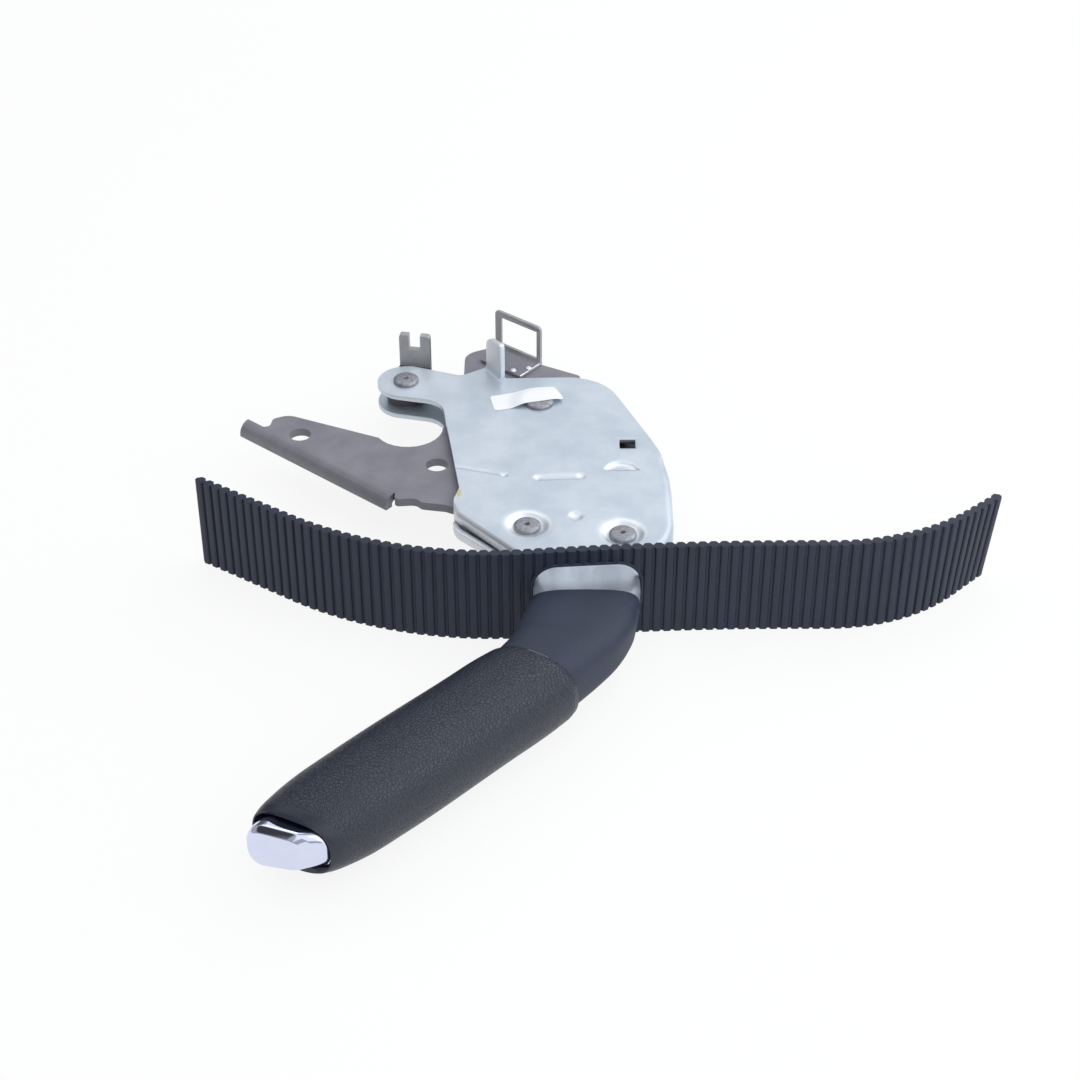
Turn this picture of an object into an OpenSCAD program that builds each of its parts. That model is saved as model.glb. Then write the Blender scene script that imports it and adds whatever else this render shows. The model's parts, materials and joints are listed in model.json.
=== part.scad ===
// Parking brake lever, lying on its side as it comes out of the car.
// Z is the lever's pivot axis, Y runs back along the neck and X to the right.
// The origin is midway between the two mounting holes, half way through the base plate.
// Every outline below is written about the pivot, and at_datum() moves it to the origin.

/* [Sheet metal] */
// Sheet thickness of the two half shells
shell_t = 2; // [1.6:0.1:2.2]
// Clear gap between the half shells
shell_gap = 7; // [6.8:0.1:8]
// Thickness of the base plate, its toothed sector and the pawl
base_t = 3.5; // [3:0.1:3.6]
// Sheet thickness of the cable guide bracket
bracket_t = 1.5; // [1.2:0.1:1.5]

/* [Mounting] */
// Diameter of the two mounting holes
hole_d = 9; // [8.4:0.1:10]
// Distance between the two mounting holes
hole_pitch = 61; // [57:0.5:63]
// Height of the stiffening lip that is folded down along the tail
lip_h = 6; // [5:0.5:8]

/* [Pins and rivets] */
// Shank diameter of the pivot rivet
pivot_d = 10; // [8:0.5:11]
// Wall of the pivot bush
bush_wall = 2; // [1.5:0.1:3]
// Head diameter of the pivot rivet
pivot_head_d = 12.6; // [12.2:0.2:17]
// Shank diameter of the pawl, arm and yoke pins
pin_d = 6; // [5:0.5:7]
// Head diameter of those pins
pin_head_d = 10.6; // [9.5:0.1:11.5]
// Height of the rivet heads
head_h = 1.7; // [1.2:0.1:2.2]
// Radial running clearance of a pin in its bore
run_c = 0.05; // [0.02:0.01:0.1]

/* [Ratchet] */
// Radius over the tooth tips of the sector
sector_r = 78; // [77:0.25:78.25]
// Depth of the teeth
tooth_h = 2.4; // [1.8:0.1:3]
// Angle from tooth to tooth
tooth_pitch = 2; // [1.8:0.1:2.2]
// Number of teeth
tooth_count = 18; // [14:1:19]
// Clearance between the stored pawl and the tooth tips
pawl_gap = 0.35; // [0.3:0.05:0.6]

/* [Cable yoke] */
// Distance from the pivot to the yoke pin
ear_reach = 58.4; // [57:0.2:59]
// Radius of the ears around the yoke pin
ear_r = 12; // [11:0.25:12.5]
// Distance from the yoke pin to the middle of the fork plate
fork_back = 19; // [18.5:0.25:22]
// Width of the fork plate
fork_w = 13.2; // [12.6:0.1:15]
// Height of the fork tips over the lever's middle plane
fork_top = 17.2; // [15:0.2:20]
// Width of the slot that takes an inner cable
fork_slot = 5; // [4.5:0.25:6]

/* [Grip] */
// Length of the grip cover
grip_l = 117.5; // [110:0.5:126]
// Width of the grip cover
grip_w = 37.2; // [36:0.2:42]
// Thickness of the grip cover
grip_h = 29.6; // [28.4:0.2:34]
// Width of the release button
button_w = 25.2; // [22:0.2:25.6]
// Thickness of the release button
button_h = 16; // [14.5:0.25:17]
// How far the middle of the button stands out of the grip
button_out = 5.8; // [5:0.2:9]
// Travel of the button
button_travel = 6; // [4:0.5:6]
// Diameter of the push rod
rod_d = 4.5; // [4:0.1:5]

/* [Ribbed strip] */
// Width of the rubber strip
strip_w = 39; // [34:0.5:40]
// Thickness of the strip over its ribs
strip_t = 3.6; // [3:0.1:4.2]
// Distance from rib to rib
rib_pitch = 4.26; // [4:0.02:4.5]
// Number of ribs
rib_count = 77; // [70:1:79]
// Height of the hole that the neck passes through
strip_hole_h = 26; // [20:0.5:28]

/* [Hidden] */
$fn = 64;

// Small cut-past so that a cut leaves no skin
past = 1;
// Gap between neighbours of one body that only rest on each other
seat = 0.1;

// Places of the pins about the pivot
ear_at = ear_reach * [cos(163.6), sin(163.6)];
pawl_at = [-4.5, -sector_r - 9];
arm_at = [32, -92.5];
post_at = [14.2, -sector_r - 3.6];
hole_near = [-41, -41];
hole_far = hole_near + hole_pitch * [cos(158.7), sin(158.7)];
datum = (hole_near + hole_far) / 2;

// Levels over the middle plane
half_gap = shell_gap / 2;
shell_top = half_gap + shell_t;
half_base = base_t / 2;
// The shells are dimpled at the pawl and arm pins until they nearly touch the pawl
dimple = half_gap - half_base - 0.25;
dimple_floor = shell_top - dimple;
dimple_r = pin_head_d / 2 + 0.8;
dimple_flare = 2.4;

bush_d = pivot_d + 2 * (run_c + bush_wall);
hub_washer_t = half_gap - half_base - 2 * seat;

// The neck runs straight to the hand and the grip leaves it at an angle
neck_left = -2.2;
neck_right = 37.6;
neck_end = -129.8;
grip_heading = -134;
grip_at = [1.95, -171.5];
// Both ends of the grip are cut on the slant, with the left side further to the front
rear_slant = 14;
rear_shift = 4.5;
front_slant = 17;
tang_half = 8;
tang_l = 71;

// Grip insert, measured along the grip from its rear end
core_start = 10;
core_end = grip_l - 9;
core_w = button_w + 4.6;
core_h = button_h + 5.5;
web_start = grip_l - 37;
web_t = 5;
chamber = web_start + web_t;
button_back = chamber + button_travel + 2;
button_fit = 0.35;
spring_seat = button_back + 20;

// The strip is a chain of runs, each a length and the angle that it turns through
strip_start = [-131.5, -74.9];
strip_heading = -34;
strip_runs = [[45, 0], [95, 40], [112, -6.5], [58, 43.5], [40, 0]];
strip_drop = -1;
strip_hole = [neck_left - 0.8, neck_right + 2.2];
strip_hole_l = 25;

function unit(a) = [cos(a), sin(a)];
function polar(r, a, c = [0, 0]) = c + r * unit(a);
function heading(v) = atan2(v.y, v.x);
function sharp(p) = [p.x, p.y, 0];
function arc(c, r, a0, a1, n = 12) = [for (i = [0:n]) sharp(polar(r, a0 + (a1 - a0) * i / n, c))];
function xy(p) = [p.x, p.y];
function toward(a, b) = (xy(b) - xy(a)) / norm(xy(b) - xy(a));

// One corner of an outline, written as x, y and a radius, turned into the points of its arc
function corner(before, p, after) =
    p[2] == 0 ? [xy(p)] :
    let (
        u = toward(p, before),
        v = toward(p, after),
        half = acos(u * v) / 2,
        room = 0.49 * min(norm(xy(before) - xy(p)), norm(xy(after) - xy(p))),
        r = min(p[2], room * tan(half)),
        c = xy(p) + (u + v) / norm(u + v) * r / sin(half),
        from = heading(xy(p) + u * r / tan(half) - c),
        left_turn = u.x * v.y - u.y * v.x < 0,
        sweep = (left_turn ? 1 : -1) * (180 - 2 * half),
        n = max(2, ceil(abs(sweep) / 9))
    ) [for (i = [0:n]) polar(r, from + sweep * i / n, c)];
function rounded(p) =
    let (n = len(p)) [for (i = [0:n - 1]) each corner(p[(i + n - 1) % n], p[i], p[(i + 1) % n])];

// The same outline moved inward by a wall; outlines run counter-clockwise
function inset_corner(before, p, after, wall) =
    let (
        u = toward(p, before),
        v = toward(p, after),
        half = acos(u * v) / 2,
        side = u.x * v.y - u.y * v.x < 0 ? 1 : -1,
        q = xy(p) + side * wall / sin(half) * (u + v) / norm(u + v)
    ) [q.x, q.y, p[2] == 0 ? 0 : max(0.2, p[2] - side * wall)];
function inset(p, wall) =
    let (n = len(p))
    [for (i = [0:n - 1]) inset_corner(p[(i + n - 1) % n], p[i], p[(i + 1) % n], wall)];

// A place along the grip, with an offset to its right
function on_grip(t, side) = grip_at + t * unit(grip_heading) + side * unit(grip_heading + 90);
function grip_corner(t, side, r) = let (p = on_grip(t, side)) [p.x, p.y, r];

module at_datum() translate([-datum.x, -datum.y, 0]) children();
module at(p, z = 0) translate([p.x, p.y, z]) children();
module slab(z0, z1, corners) translate([0, 0, z0]) linear_extrude(z1 - z0) polygon(rounded(corners));
module disc(z0, z1, r, r1) translate([0, 0, z0]) cylinder(h = z1 - z0, r1 = r, r2 = is_undef(r1) ? r : r1);
module both_sides() {
    children();
    mirror([0, 0, 1]) children();
}
module in_grip() at(grip_at) rotate([0, 0, grip_heading]) children();
// A section across the grip, pushed along it from one place to another
module along_grip(t0, t1) in_grip() translate([t0, 0, 0]) rotate([90, 0, 90])
    linear_extrude(t1 - t0) children();
module oblong(w, h, r) polygon(rounded([
    [w / 2, -h / 2, r], [w / 2, h / 2, r], [-w / 2, h / 2, r], [-w / 2, -h / 2, r]
]));

// A solid skin over a row of closed rings with equal numbers of points
module loft(rings) {
    n = len(rings[0]);
    m = len(rings);
    polyhedron(
        points = [for (ring = rings) each ring],
        faces = concat(
            [[for (i = [0:n - 1]) i]],
            [for (k = [0:m - 2], i = [0:n - 1]) let (a = k * n, b = a + n, j = (i + 1) % n)
                each [[a + i, b + i, b + j], [a + i, b + j, a + j]]],
            [[for (i = [n - 1:-1:0]) (m - 1) * n + i]]
        )
    );
}
// A ring that lies between an oval and a rounded rectangle: side and height over its angle
function squircle(a, p) = [for (v = unit(a)) sign(v) * pow(abs(v), 2 / p)];

// Base plate
lip_from = [-123.6, -11];
lip_to = [-60.3, -64.3];
lip_bend = 5;
lip_heading = heading(lip_to - lip_from);
lip_l = norm(lip_to - lip_from);
sector_start = -118;
teeth_start = -102;
sector_end = -62;
scallop_at = [-53.5, -14];
scallop_r = 14;
guide_from = [1.4, 35.6];
guide_to = [-18.1, 51.4];

function on_lip(d, inward) = lip_from + d * unit(lip_heading) + inward * unit(lip_heading + 90);
function tooth(a) = [
    sharp(polar(sector_r - tooth_h, a)),
    sharp(polar(sector_r, a + 0.75 * tooth_pitch)),
    sharp(polar(sector_r, a + 0.95 * tooth_pitch))
];
function lip_corner(d) = sharp(on_lip(d, lip_bend));
base_corners = concat(
    [lip_corner(9), lip_corner(lip_l + 0.6), [lip_to.x + 3.4, lip_to.y - 0.9, 3]],
    [[-48.5, -64.4, 4], [-46, -67.2, 3]],
    arc([0, 0], sector_r, sector_start, teeth_start - 1, 8),
    [for (i = [0:tooth_count - 1]) each tooth(teeth_start + i * tooth_pitch)],
    arc([0, 0], sector_r, teeth_start + tooth_count * tooth_pitch + 1, sector_end, 3),
    [[38, -40, 20], [30, -5, 15], [27, 16.4, 2], [25.4, 21.4, 1.5], [18, 22.6, 1], [17.1, 27, 2]],
    [[guide_from.x, guide_from.y, 2], [guide_to.x, guide_to.y, 3]],
    [[-32, 44.5, 8], [-32, 10, 8], [-36, -9, 6]],
    arc(scallop_at, scallop_r, 0, -149),
    [[-104, -4, 7], [-110.2, -7, 3], [-110.8, -12.5, 2]]
);

module lip() {
    fold = lip_bend - base_t;
    drop = half_base - lip_h;
    centre = [lip_bend, half_base - lip_bend];
    outer = [for (i = [0:8]) polar(lip_bend, 180 - 90 * i / 8, centre)];
    inner = [for (i = [0:8]) polar(fold, 90 + 90 * i / 8, centre)];
    at(lip_from) rotate([0, 0, lip_heading]) rotate([90, 0, 90]) linear_extrude(lip_l)
        polygon(concat([[0, drop]], outer, inner, [[base_t, drop]]));
}

module base_plate() color("#77737d") at_datum() difference() {
    union() {
        slab(-half_base, half_base, base_corners);
        lip();
    }
    disc(-base_t, base_t, bush_d / 2 + seat / 2);
    for (p = [hole_near, hole_far]) at(p) disc(-base_t, base_t, hole_d / 2);
}

// Cable guide: a foot welded on the base plate and an open frame that stands up from it
guide_w = norm(guide_to - guide_from);
guide_top = 20.6;
guide_right = 2.2;
guide_left = 3.2;
guide_cap = 2.8;
guide_sill = 4.7;
guide_foot = 15;
weld_pips = [[-11, 28.5], [-4.5, 30.2]];

module guide_bracket() color("#77737d") at_datum() {
    at(guide_from) rotate([0, 0, heading(guide_to - guide_from)]) difference() {
        union() {
            translate([0, 0, half_base]) cube([guide_w - 3, guide_foot, bracket_t]);
            translate([0, bracket_t, half_base]) rotate([90, 0, 0]) linear_extrude(bracket_t)
                polygon(rounded([
                    [0, 0, 0], [guide_w, 0, 0], [guide_w, guide_top - half_base, 2],
                    [0, guide_top - half_base, 2]
                ]));
        }
        translate([guide_right, -past, guide_sill]) cube([
            guide_w - guide_right - guide_left, bracket_t + 2 * past, guide_top - guide_cap - guide_sill
        ]);
    }
    for (p = weld_pips) at(p, half_base + bracket_t) disc(0, 0.9, 1.6, 1);
}

// Pivot stack, which turns between the shells
module pivot_bush() color("#a98f5a") at_datum() difference() {
    disc(-half_gap + seat, half_gap - seat, bush_d / 2);
    disc(-shell_gap, shell_gap, pivot_d / 2 + run_c);
}

module pivot_washers() color("#9a9ca0") at_datum() both_sides() difference() {
    disc(half_base, half_base + hub_washer_t, bush_d / 2 + 5);
    disc(0, shell_gap, bush_d / 2 + seat);
}

// A rivet with a flat head on each shell, on the shell's face or down in its dimple
module rivet(shank_d, head_d, face) {
    disc(-face, face, shank_d / 2);
    both_sides() difference() {
        union() {
            disc(face, face + head_h * 0.6, head_d / 2);
            disc(face + head_h * 0.6, face + head_h, head_d / 2, head_d / 2 - 0.8);
        }
        disc(face + head_h - 0.6, face + head_h + past, 0.9);
    }
}

module pivot_rivet() color("#b9bcc4") at_datum() rivet(pivot_d, pivot_head_d, shell_top);
module pawl_pin() color("#a3a1a8") at_datum() at(pawl_at) rivet(pin_d, pin_head_d, dimple_floor);
module arm_rivet() color("#a3a1a8") at_datum() at(arm_at) rivet(pin_d, pin_head_d, dimple_floor);
module yoke_pin() color("#a3a1a8") at_datum() at(ear_at) rivet(pin_d, pin_head_d, shell_top);

module arm_spacer() color("#9a9ca0") at_datum() at(arm_at) difference() {
    disc(-half_gap + dimple, half_gap - dimple, pin_d);
    disc(-shell_gap, shell_gap, pin_d / 2 + run_c);
}

module spring_post() color("#9a9ca0") at_datum() at(post_at)
    disc(-half_gap + post_dimple, half_gap - post_dimple, post_d / 2);

// Half shells: the plan is shared but for the corner in front of the pawl
post_d = 5;
post_dimple = 0.8;
right_wall_end = -42;
left_wall_end = 3.5 - sector_r;
shell_seam = 0.25;
upper_front = [[-33.2, 0.8 - sector_r, 6], [neck_left, -111.3, 15]];
lower_front = [[-33.2, -sector_r - 11, 16], [neck_left, -113.5, 12]];

function shell_corners(front) = concat(
    arc(ear_at, ear_r, 70, 253, 16),
    [[-40.3, 0.5, 10], [-31.3, 15.7 - sector_r, 1.5], [-33.2, 8 - sector_r, 4]],
    front,
    [[neck_left, neck_end, 1.5], [1.2, neck_end - 1.6, 1], [-3.6, -152, 20]],
    [grip_corner(-2, -tang_half, 3.5), grip_corner(tang_l, -tang_half, 2)],
    [grip_corner(tang_l, tang_half, 2), grip_corner(4, tang_half, 30)],
    [[33.4, -150, 20], [33.8, neck_end - 1.6, 1], [neck_right, neck_end, 1.5], [neck_right, -117, 25]],
    [[51.8, -92, 30], [52.2, -45.4, 90], [26.6, 20, 22]],
    [[-13.9, 18.6, 1], [tab_from.x, tab_from.y, 1.5], [-33, 20.8, 4]]
);

module pressed_shell(front) {
    corners = shell_corners(front);
    boss_r = dimple_r + 0.6;
    difference() {
        union() {
            difference() {
                slab(shell_seam, shell_top, corners);
                slab(0, half_gap, inset(corners, shell_t));
                slab(0, half_gap, open_side);
                along_grip(tang_l - 2 * shell_t, tang_l + past)
                    translate([0, half_gap / 2])
                    square([2 * (tang_half - shell_t), half_gap], center = true);
            }
            for (p = [pawl_at, arm_at])
                at(p) disc(half_gap - dimple, half_gap + past, boss_r, boss_r + dimple_flare);
            at(post_at) disc(half_gap - post_dimple, half_gap + past, post_d / 2 + 1);
        }
        for (p = [pawl_at, arm_at]) at(p) {
            disc(dimple_floor, shell_top + 0.01, dimple_r, dimple_r + dimple_flare);
            disc(0, shell_top, pin_d / 2 + seat / 2);
        }
        at(post_at) disc(shell_top - post_dimple, shell_top + past, post_d / 2);
        at(ear_at) disc(0, shell_top + past, pin_d / 2 + seat / 2);
        disc(0, shell_top + past, pivot_d / 2 + seat / 2);
    }
}
open_side = [
    [90, right_wall_end, 0], [90, 60, 0], [-90, 60, 0], [-90, left_wall_end, 0],
    [-20, left_wall_end, 0], [-20, right_wall_end, 0]
];

// Lug folded up from the rear edge of the upper shell
tab_from = [-20.7, 28.6];
tab_to = [-14.4, 18.7];
tab_top = 22.2;
window_at = [35.7, -31.5];
window_w = 6.5;

module lug() {
    w = norm(tab_to - tab_from);
    foot = shell_top - shell_t / 2;
    at(tab_from) rotate([0, 0, heading(tab_to - tab_from)]) rotate([90, 0, 0])
        translate([0, 0, -shell_t]) linear_extrude(shell_t)
        polygon(rounded([[0, foot, 0], [w, foot, 0], [w, tab_top, 1.5], [0, tab_top - 2, 4]]));
}

module upper_shell() color("#c9d3df") at_datum() {
    difference() {
        pressed_shell(upper_front);
        at(window_at) linear_extrude(2 * shell_top) square(window_w, center = true);
    }
    lug();
}

module lower_shell() color("#bcc5d1") at_datum() mirror([0, 0, 1]) pressed_shell(lower_front);

// Pawl: a nose over the toothed sector and an arm that the push rod lifts
nose_angle = -104;
pawl_arm = -52;
pawl_arm_l = 21;
pawl_arm_half = 3.5;
pawl_boss = 5.8;
pawl_t = base_t - 0.1;
rod_reach = 18;
rod_gap = 0.3;

module pawl() color("#6f6c74") at_datum() {
    tip = polar(sector_r + pawl_gap, nose_angle);
    root = tip + 8 * unit(nose_angle + 12);
    difference() {
        union() {
            at(pawl_at) disc(-pawl_t / 2, pawl_t / 2, pawl_boss);
            slab(-pawl_t / 2, pawl_t / 2, [
                sharp(tip), sharp(root), [pawl_at.x - 4, pawl_at.y - 4, 1],
                [pawl_at.x + 3, pawl_at.y + 4.6, 2], sharp(tip + 1.6 * unit(nose_angle + 90))
            ]);
            at(pawl_at) rotate([0, 0, pawl_arm])
                slab(-pawl_t / 2, pawl_t / 2, [
                    [0, -pawl_arm_half, 0], [pawl_arm_l, -pawl_arm_half, 3],
                    [pawl_arm_l, pawl_arm_half, 3], [0, pawl_arm_half, 0]
                ]);
        }
        at(pawl_at) disc(-shell_gap, shell_gap, pin_d / 2 + run_c);
    }
}

// A straight round wire from one place to another
module wire(from, to, d) {
    v = to - from;
    translate(from) rotate([0, acos(v.z / norm(v)), atan2(v.y, v.x)]) cylinder(h = norm(v), d = d);
}

// A coil of round wire about Z: mean radius, wire diameter, rise per turn, turns and first angle
module coil(r, d, rise, turns, first = 0) {
    steps = 18;
    sides = 6;
    loft([for (k = [0:turns * steps]) let (a = first + 360 * k / steps, z = rise * k / steps)
        [for (j = [0:sides - 1]) let (b = -360 * j / sides)
            [(r + d / 2 * cos(b)) * cos(a), (r + d / 2 * cos(b)) * sin(a), z + d / 2 * sin(b)]]]);
}

// Torsion spring on its post: one leg holds the pawl down and the other rests on the arm spacer
spring_wire = 1;
spring_turns = 2.5;
module pawl_spring() color("#8f9196") at_datum() {
    r = post_d / 2 + seat + spring_wire / 2;
    low = -spring_turns * (spring_wire + seat) / 2;
    on_pawl = polar(12, pawl_arm, pawl_at) + (pawl_arm_half + spring_wire / 2 + seat) * unit(pawl_arm + 90);
    on_spacer = polar(pin_d + spring_wire / 2 + seat, 100, arm_at);
    first = 150;
    at(post_at, low) coil(r, spring_wire, spring_wire + seat, spring_turns, first);
    for (leg = [[on_pawl, first, low], [on_spacer, first + 360 * spring_turns, -low]]) {
        start = polar(r, leg[1], post_at);
        wire([start.x, start.y, leg[2]], [leg[0].x, leg[0].y, leg[2]], spring_wire);
    }
}

// Push rod: straight in the grip, then bent to run up the neck to the pawl's arm
rod_r = rod_d / 2;
rod_tip = polar(rod_reach, pawl_arm, pawl_at) + (pawl_arm_half + rod_r + rod_gap) * unit(pawl_arm - 90);
rod_places = [on_grip(grip_l + 3, 0), on_grip(-8, 0), [11, -146], rod_tip];

module push_rod() color("#8b8d92") at_datum() {
    last = len(rod_places) - 1;
    trim = 0.4 * rod_r;
    for (i = [0:last - 1])
        let (
            u = toward(rod_places[i], rod_places[i + 1]),
            a = rod_places[i] + (i > 0 ? trim : 0) * u,
            b = rod_places[i + 1] - (i < last - 1 ? trim : 0) * u
        )
        wire([a.x, a.y, 0], [b.x, b.y, 0], rod_d);
    // A knuckle at each bend joins the straight lengths
    for (i = [1:last - 1]) at(rod_places[i]) sphere(d = rod_d + 0.6);
    // The tip is rounded off where it meets the pawl
    u = toward(rod_places[last - 1], rod_tip);
    end = rod_tip + 0.8 * rod_r * u;
    wire([rod_tip.x - u.x, rod_tip.y - u.y, 0], [end.x, end.y, 0], rod_d * 0.55);
}

module rod_clip() color("#8b8d92") at_datum()
    along_grip(web_start - 1 - seat, web_start - seat) difference() {
        circle(r = rod_r + 2.5);
        circle(r = rod_r + run_c);
    }

module button_spring() color("#9fa1a6") at_datum() in_grip() {
    turns = 7;
    d = 1;
    length = spring_seat - chamber - 2 * seat - d;
    translate([chamber + seat + d / 2, 0, 0]) rotate([0, 90, 0])
        coil(rod_r + 1.4, d, length / turns, turns);
}

// Chrome button: an oval whose slanted front has a wide bevel above and a narrow one below
button_front = grip_l + button_out;
bevel = [1.9, 2.2];
edge = 0.8;
module release_button() color("#e3e4ea") at_datum() difference() {
    intersection() {
        along_grip(button_back, button_front) oblong(button_w, button_h, button_h * 0.38);
        in_grip() translate([button_front, 0, 0]) rotate([0, 0, front_slant]) rotate([90, 0, 0])
            translate([0, 0, -button_w]) linear_extrude(2 * button_w) polygon(rounded([
                [-button_front, -button_h, 0], [-edge - button_h / 2, -button_h, 0],
                [0, -button_h / 2 + edge, 0.6], [0, button_h / 2 - bevel.y, 0.8],
                [-2 * bevel.x, button_h / 2 + bevel.y, 0], [-button_front, button_h / 2 + bevel.y, 0]
            ]));
    }
    along_grip(button_back - past, spring_seat) circle(d = rod_d + 7);
    along_grip(button_back - past, grip_l + 3 + seat) circle(r = rod_r + run_c);
}

// Grip: a stiff insert on the shells' tang, under a soft cover
module grip_core() color("#26272c") at_datum() difference() {
    along_grip(core_start, core_end) oblong(core_w, core_h, core_h * 0.35);
    along_grip(core_start - past, web_start)
        oblong(2 * (tang_half + seat), 2 * (shell_top + seat), 0.5);
    along_grip(web_start - past, chamber + past) circle(r = rod_r + 0.3);
    along_grip(chamber, core_end + past)
        oblong(button_w + 2 * button_fit, button_h + 2 * button_fit, button_h * 0.38 + button_fit);
}

// Width and thickness of the cover along its length, as fractions
grip_stations = [
    [0, 0.93], [0.02, 0.965], [0.08, 0.99], [0.3, 1], [0.72, 1], [0.86, 0.965], [0.93, 0.905],
    [0.975, 0.845], [1, 0.785]
];
// One point of the cover: the slant of each end fades out toward the middle
function cover_point(f, y, z) = [
    f * grip_l + max(0, 1 - f / 0.3) * (rear_shift - y * tan(rear_slant))
        - max(0, f - 0.6) / 0.4 * y * tan(front_slant),
    y, z
];
module grip_cover() color("#34373f") at_datum() difference() {
    in_grip() loft([for (s = grip_stations) [for (i = [0:39])
        let (q = s[1] / 2 * squircle(9 * i, 2.4)) cover_point(s[0], q.x * grip_w, q.y * grip_h)]]);
    along_grip(core_start - seat, core_end + seat)
        oblong(core_w + 2 * seat, core_h + 2 * seat, core_h * 0.35);
    along_grip(-past, core_start + past) oblong(2 * (tang_half + seat), 2 * (shell_top + seat), 0.5);
    along_grip(core_end - past, grip_l + button_h / 2)
        oblong(button_w + 1.6, button_h + 1.6, button_h * 0.38 + 0.8);
}

// Collar: a soft sleeve over the bend, each station a left and a right edge and a half thickness
function on_rear(side) = on_grip(rear_shift - side * tan(rear_slant) - seat, side);
collar_stations = [
    [[-3.4, -131.6], [37.4, -131.6], 8.4], [[-5.3, -138.5], [36, -139.5], 8.9],
    [[-7.5, -146], [34.3, -148.5], 9.6], [[-9.2, -152.5], [29.6, -159.2], 10.5],
    [[-10.2, -156.8], [22.9, -168.5], 11.4], [on_rear(-16.2), on_rear(14.4), 12]
];
module collar() color("#3b3e47") at_datum() difference() {
    loft([for (s = collar_stations)
        let (mid = (s[0] + s[1]) / 2, half = (s[1] - s[0]) / 2)
        [for (i = [0:39]) let (q = squircle(9 * i, 3.4), p = mid + q.x * half) [p.x, p.y, q.y * s[2]]]
    ]);
    slab(-shell_top - seat, shell_top + seat, inset(shell_corners(upper_front), -seat));
}

// Ribbed strip: a flat land in front of each slat, grooves between them and a ridge behind
function along_run(p, h, run, d) =
    let (a = run[1] * d / run[0], turn = a * PI / 180)
    abs(a) < 0.01 ? [p + d * unit(h), h] :
    [p + d / turn * [sin(h + a) - sin(h), cos(h) - cos(h + a)], h + a];
function strip_pose(s, i = 0, p = strip_start, h = strip_heading) =
    s <= strip_runs[i][0] || i == len(strip_runs) - 1 ? along_run(p, h, strip_runs[i], s) :
    let (e = along_run(p, h, strip_runs[i], strip_runs[i][0]))
    strip_pose(s - strip_runs[i][0], i + 1, e[0], e[1]);
function beside_strip(s, off) = let (q = strip_pose(s)) q[0] + off * unit(q[1] + 90);

module ribbed_strip() color("#262a33") at_datum() {
    front = -strip_t / 2;
    web = strip_t / 2 - 1.3;
    land = [for (i = [0:rib_count - 1], e = [[0, front + 0.8], [0.12, front], [0.88, front]])
        beside_strip((i + e[0]) * rib_pitch, e[1])];
    ridge = [for (i = [rib_count - 1:-1:0], e = [[1, web], [0.5, strip_t / 2]])
        beside_strip((i + e[0]) * rib_pitch, e[1])];
    difference() {
        translate([0, 0, strip_drop - strip_w / 2]) linear_extrude(strip_w)
            polygon(concat(land, [beside_strip(rib_count * rib_pitch, front + 0.8)], ridge,
                [beside_strip(0, web)]));
        translate([0, neck_end, strip_drop]) rotate([-90, 0, 0]) linear_extrude(strip_hole_l)
            translate([(strip_hole[0] + strip_hole[1]) / 2, 0])
            oblong(strip_hole[1] - strip_hole[0], strip_hole_h, 9);
    }
}

// Cable yoke: a tongue between the ears and a fork plate with a slot for each cable
yoke_yaw = -9.5;
tongue_t = 4;
fork_t = 3;
fork_slot_l = 7;
tongue_r = 8.3;
module yoke_washers() color("#9a9ca0") at_datum() at(ear_at) both_sides() difference() {
    disc(tongue_t / 2 + seat / 2, half_gap - seat / 2, pin_d / 2 + 3);
    disc(0, shell_gap, pin_d / 2 + run_c);
}

module cable_yoke() color("#7f7b7c") at_datum() at(ear_at) rotate([0, 0, yoke_yaw]) difference() {
    union() {
        disc(-tongue_t / 2, tongue_t / 2, tongue_r);
        slab(-tongue_t / 2, tongue_t / 2, [
            [-tongue_r, 0, 0], [tongue_r, 0, 0], [fork_w / 2, fork_back, 0], [-fork_w / 2, fork_back, 0]
        ]);
        translate([0, fork_back + fork_t / 2, 0]) rotate([90, 0, 0]) linear_extrude(fork_t)
            oblong(fork_w, 2 * fork_top, 1.2);
    }
    disc(-shell_gap, shell_gap, pin_d / 2 + run_c);
    both_sides() translate([-fork_slot / 2, fork_back - fork_t, fork_top - fork_slot_l])
        cube([fork_slot, 2 * fork_t, fork_slot_l + past]);
}

base_plate();
guide_bracket();
pivot_bush();
pivot_washers();
upper_shell();
lower_shell();
pivot_rivet();
pawl_pin();
arm_rivet();
arm_spacer();
spring_post();
pawl_spring();
yoke_pin();
yoke_washers();
collar();
grip_core();
grip_cover();
ribbed_strip();
release_button();
push_rod();
rod_clip();
button_spring();
pawl();
cable_yoke();
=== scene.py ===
import json
import math
from contextlib import contextmanager

import bmesh
import bpy
import numpy as np
from mathutils import Euler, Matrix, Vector
from mathutils.geometry import delaunay_2d_cdt


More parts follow.
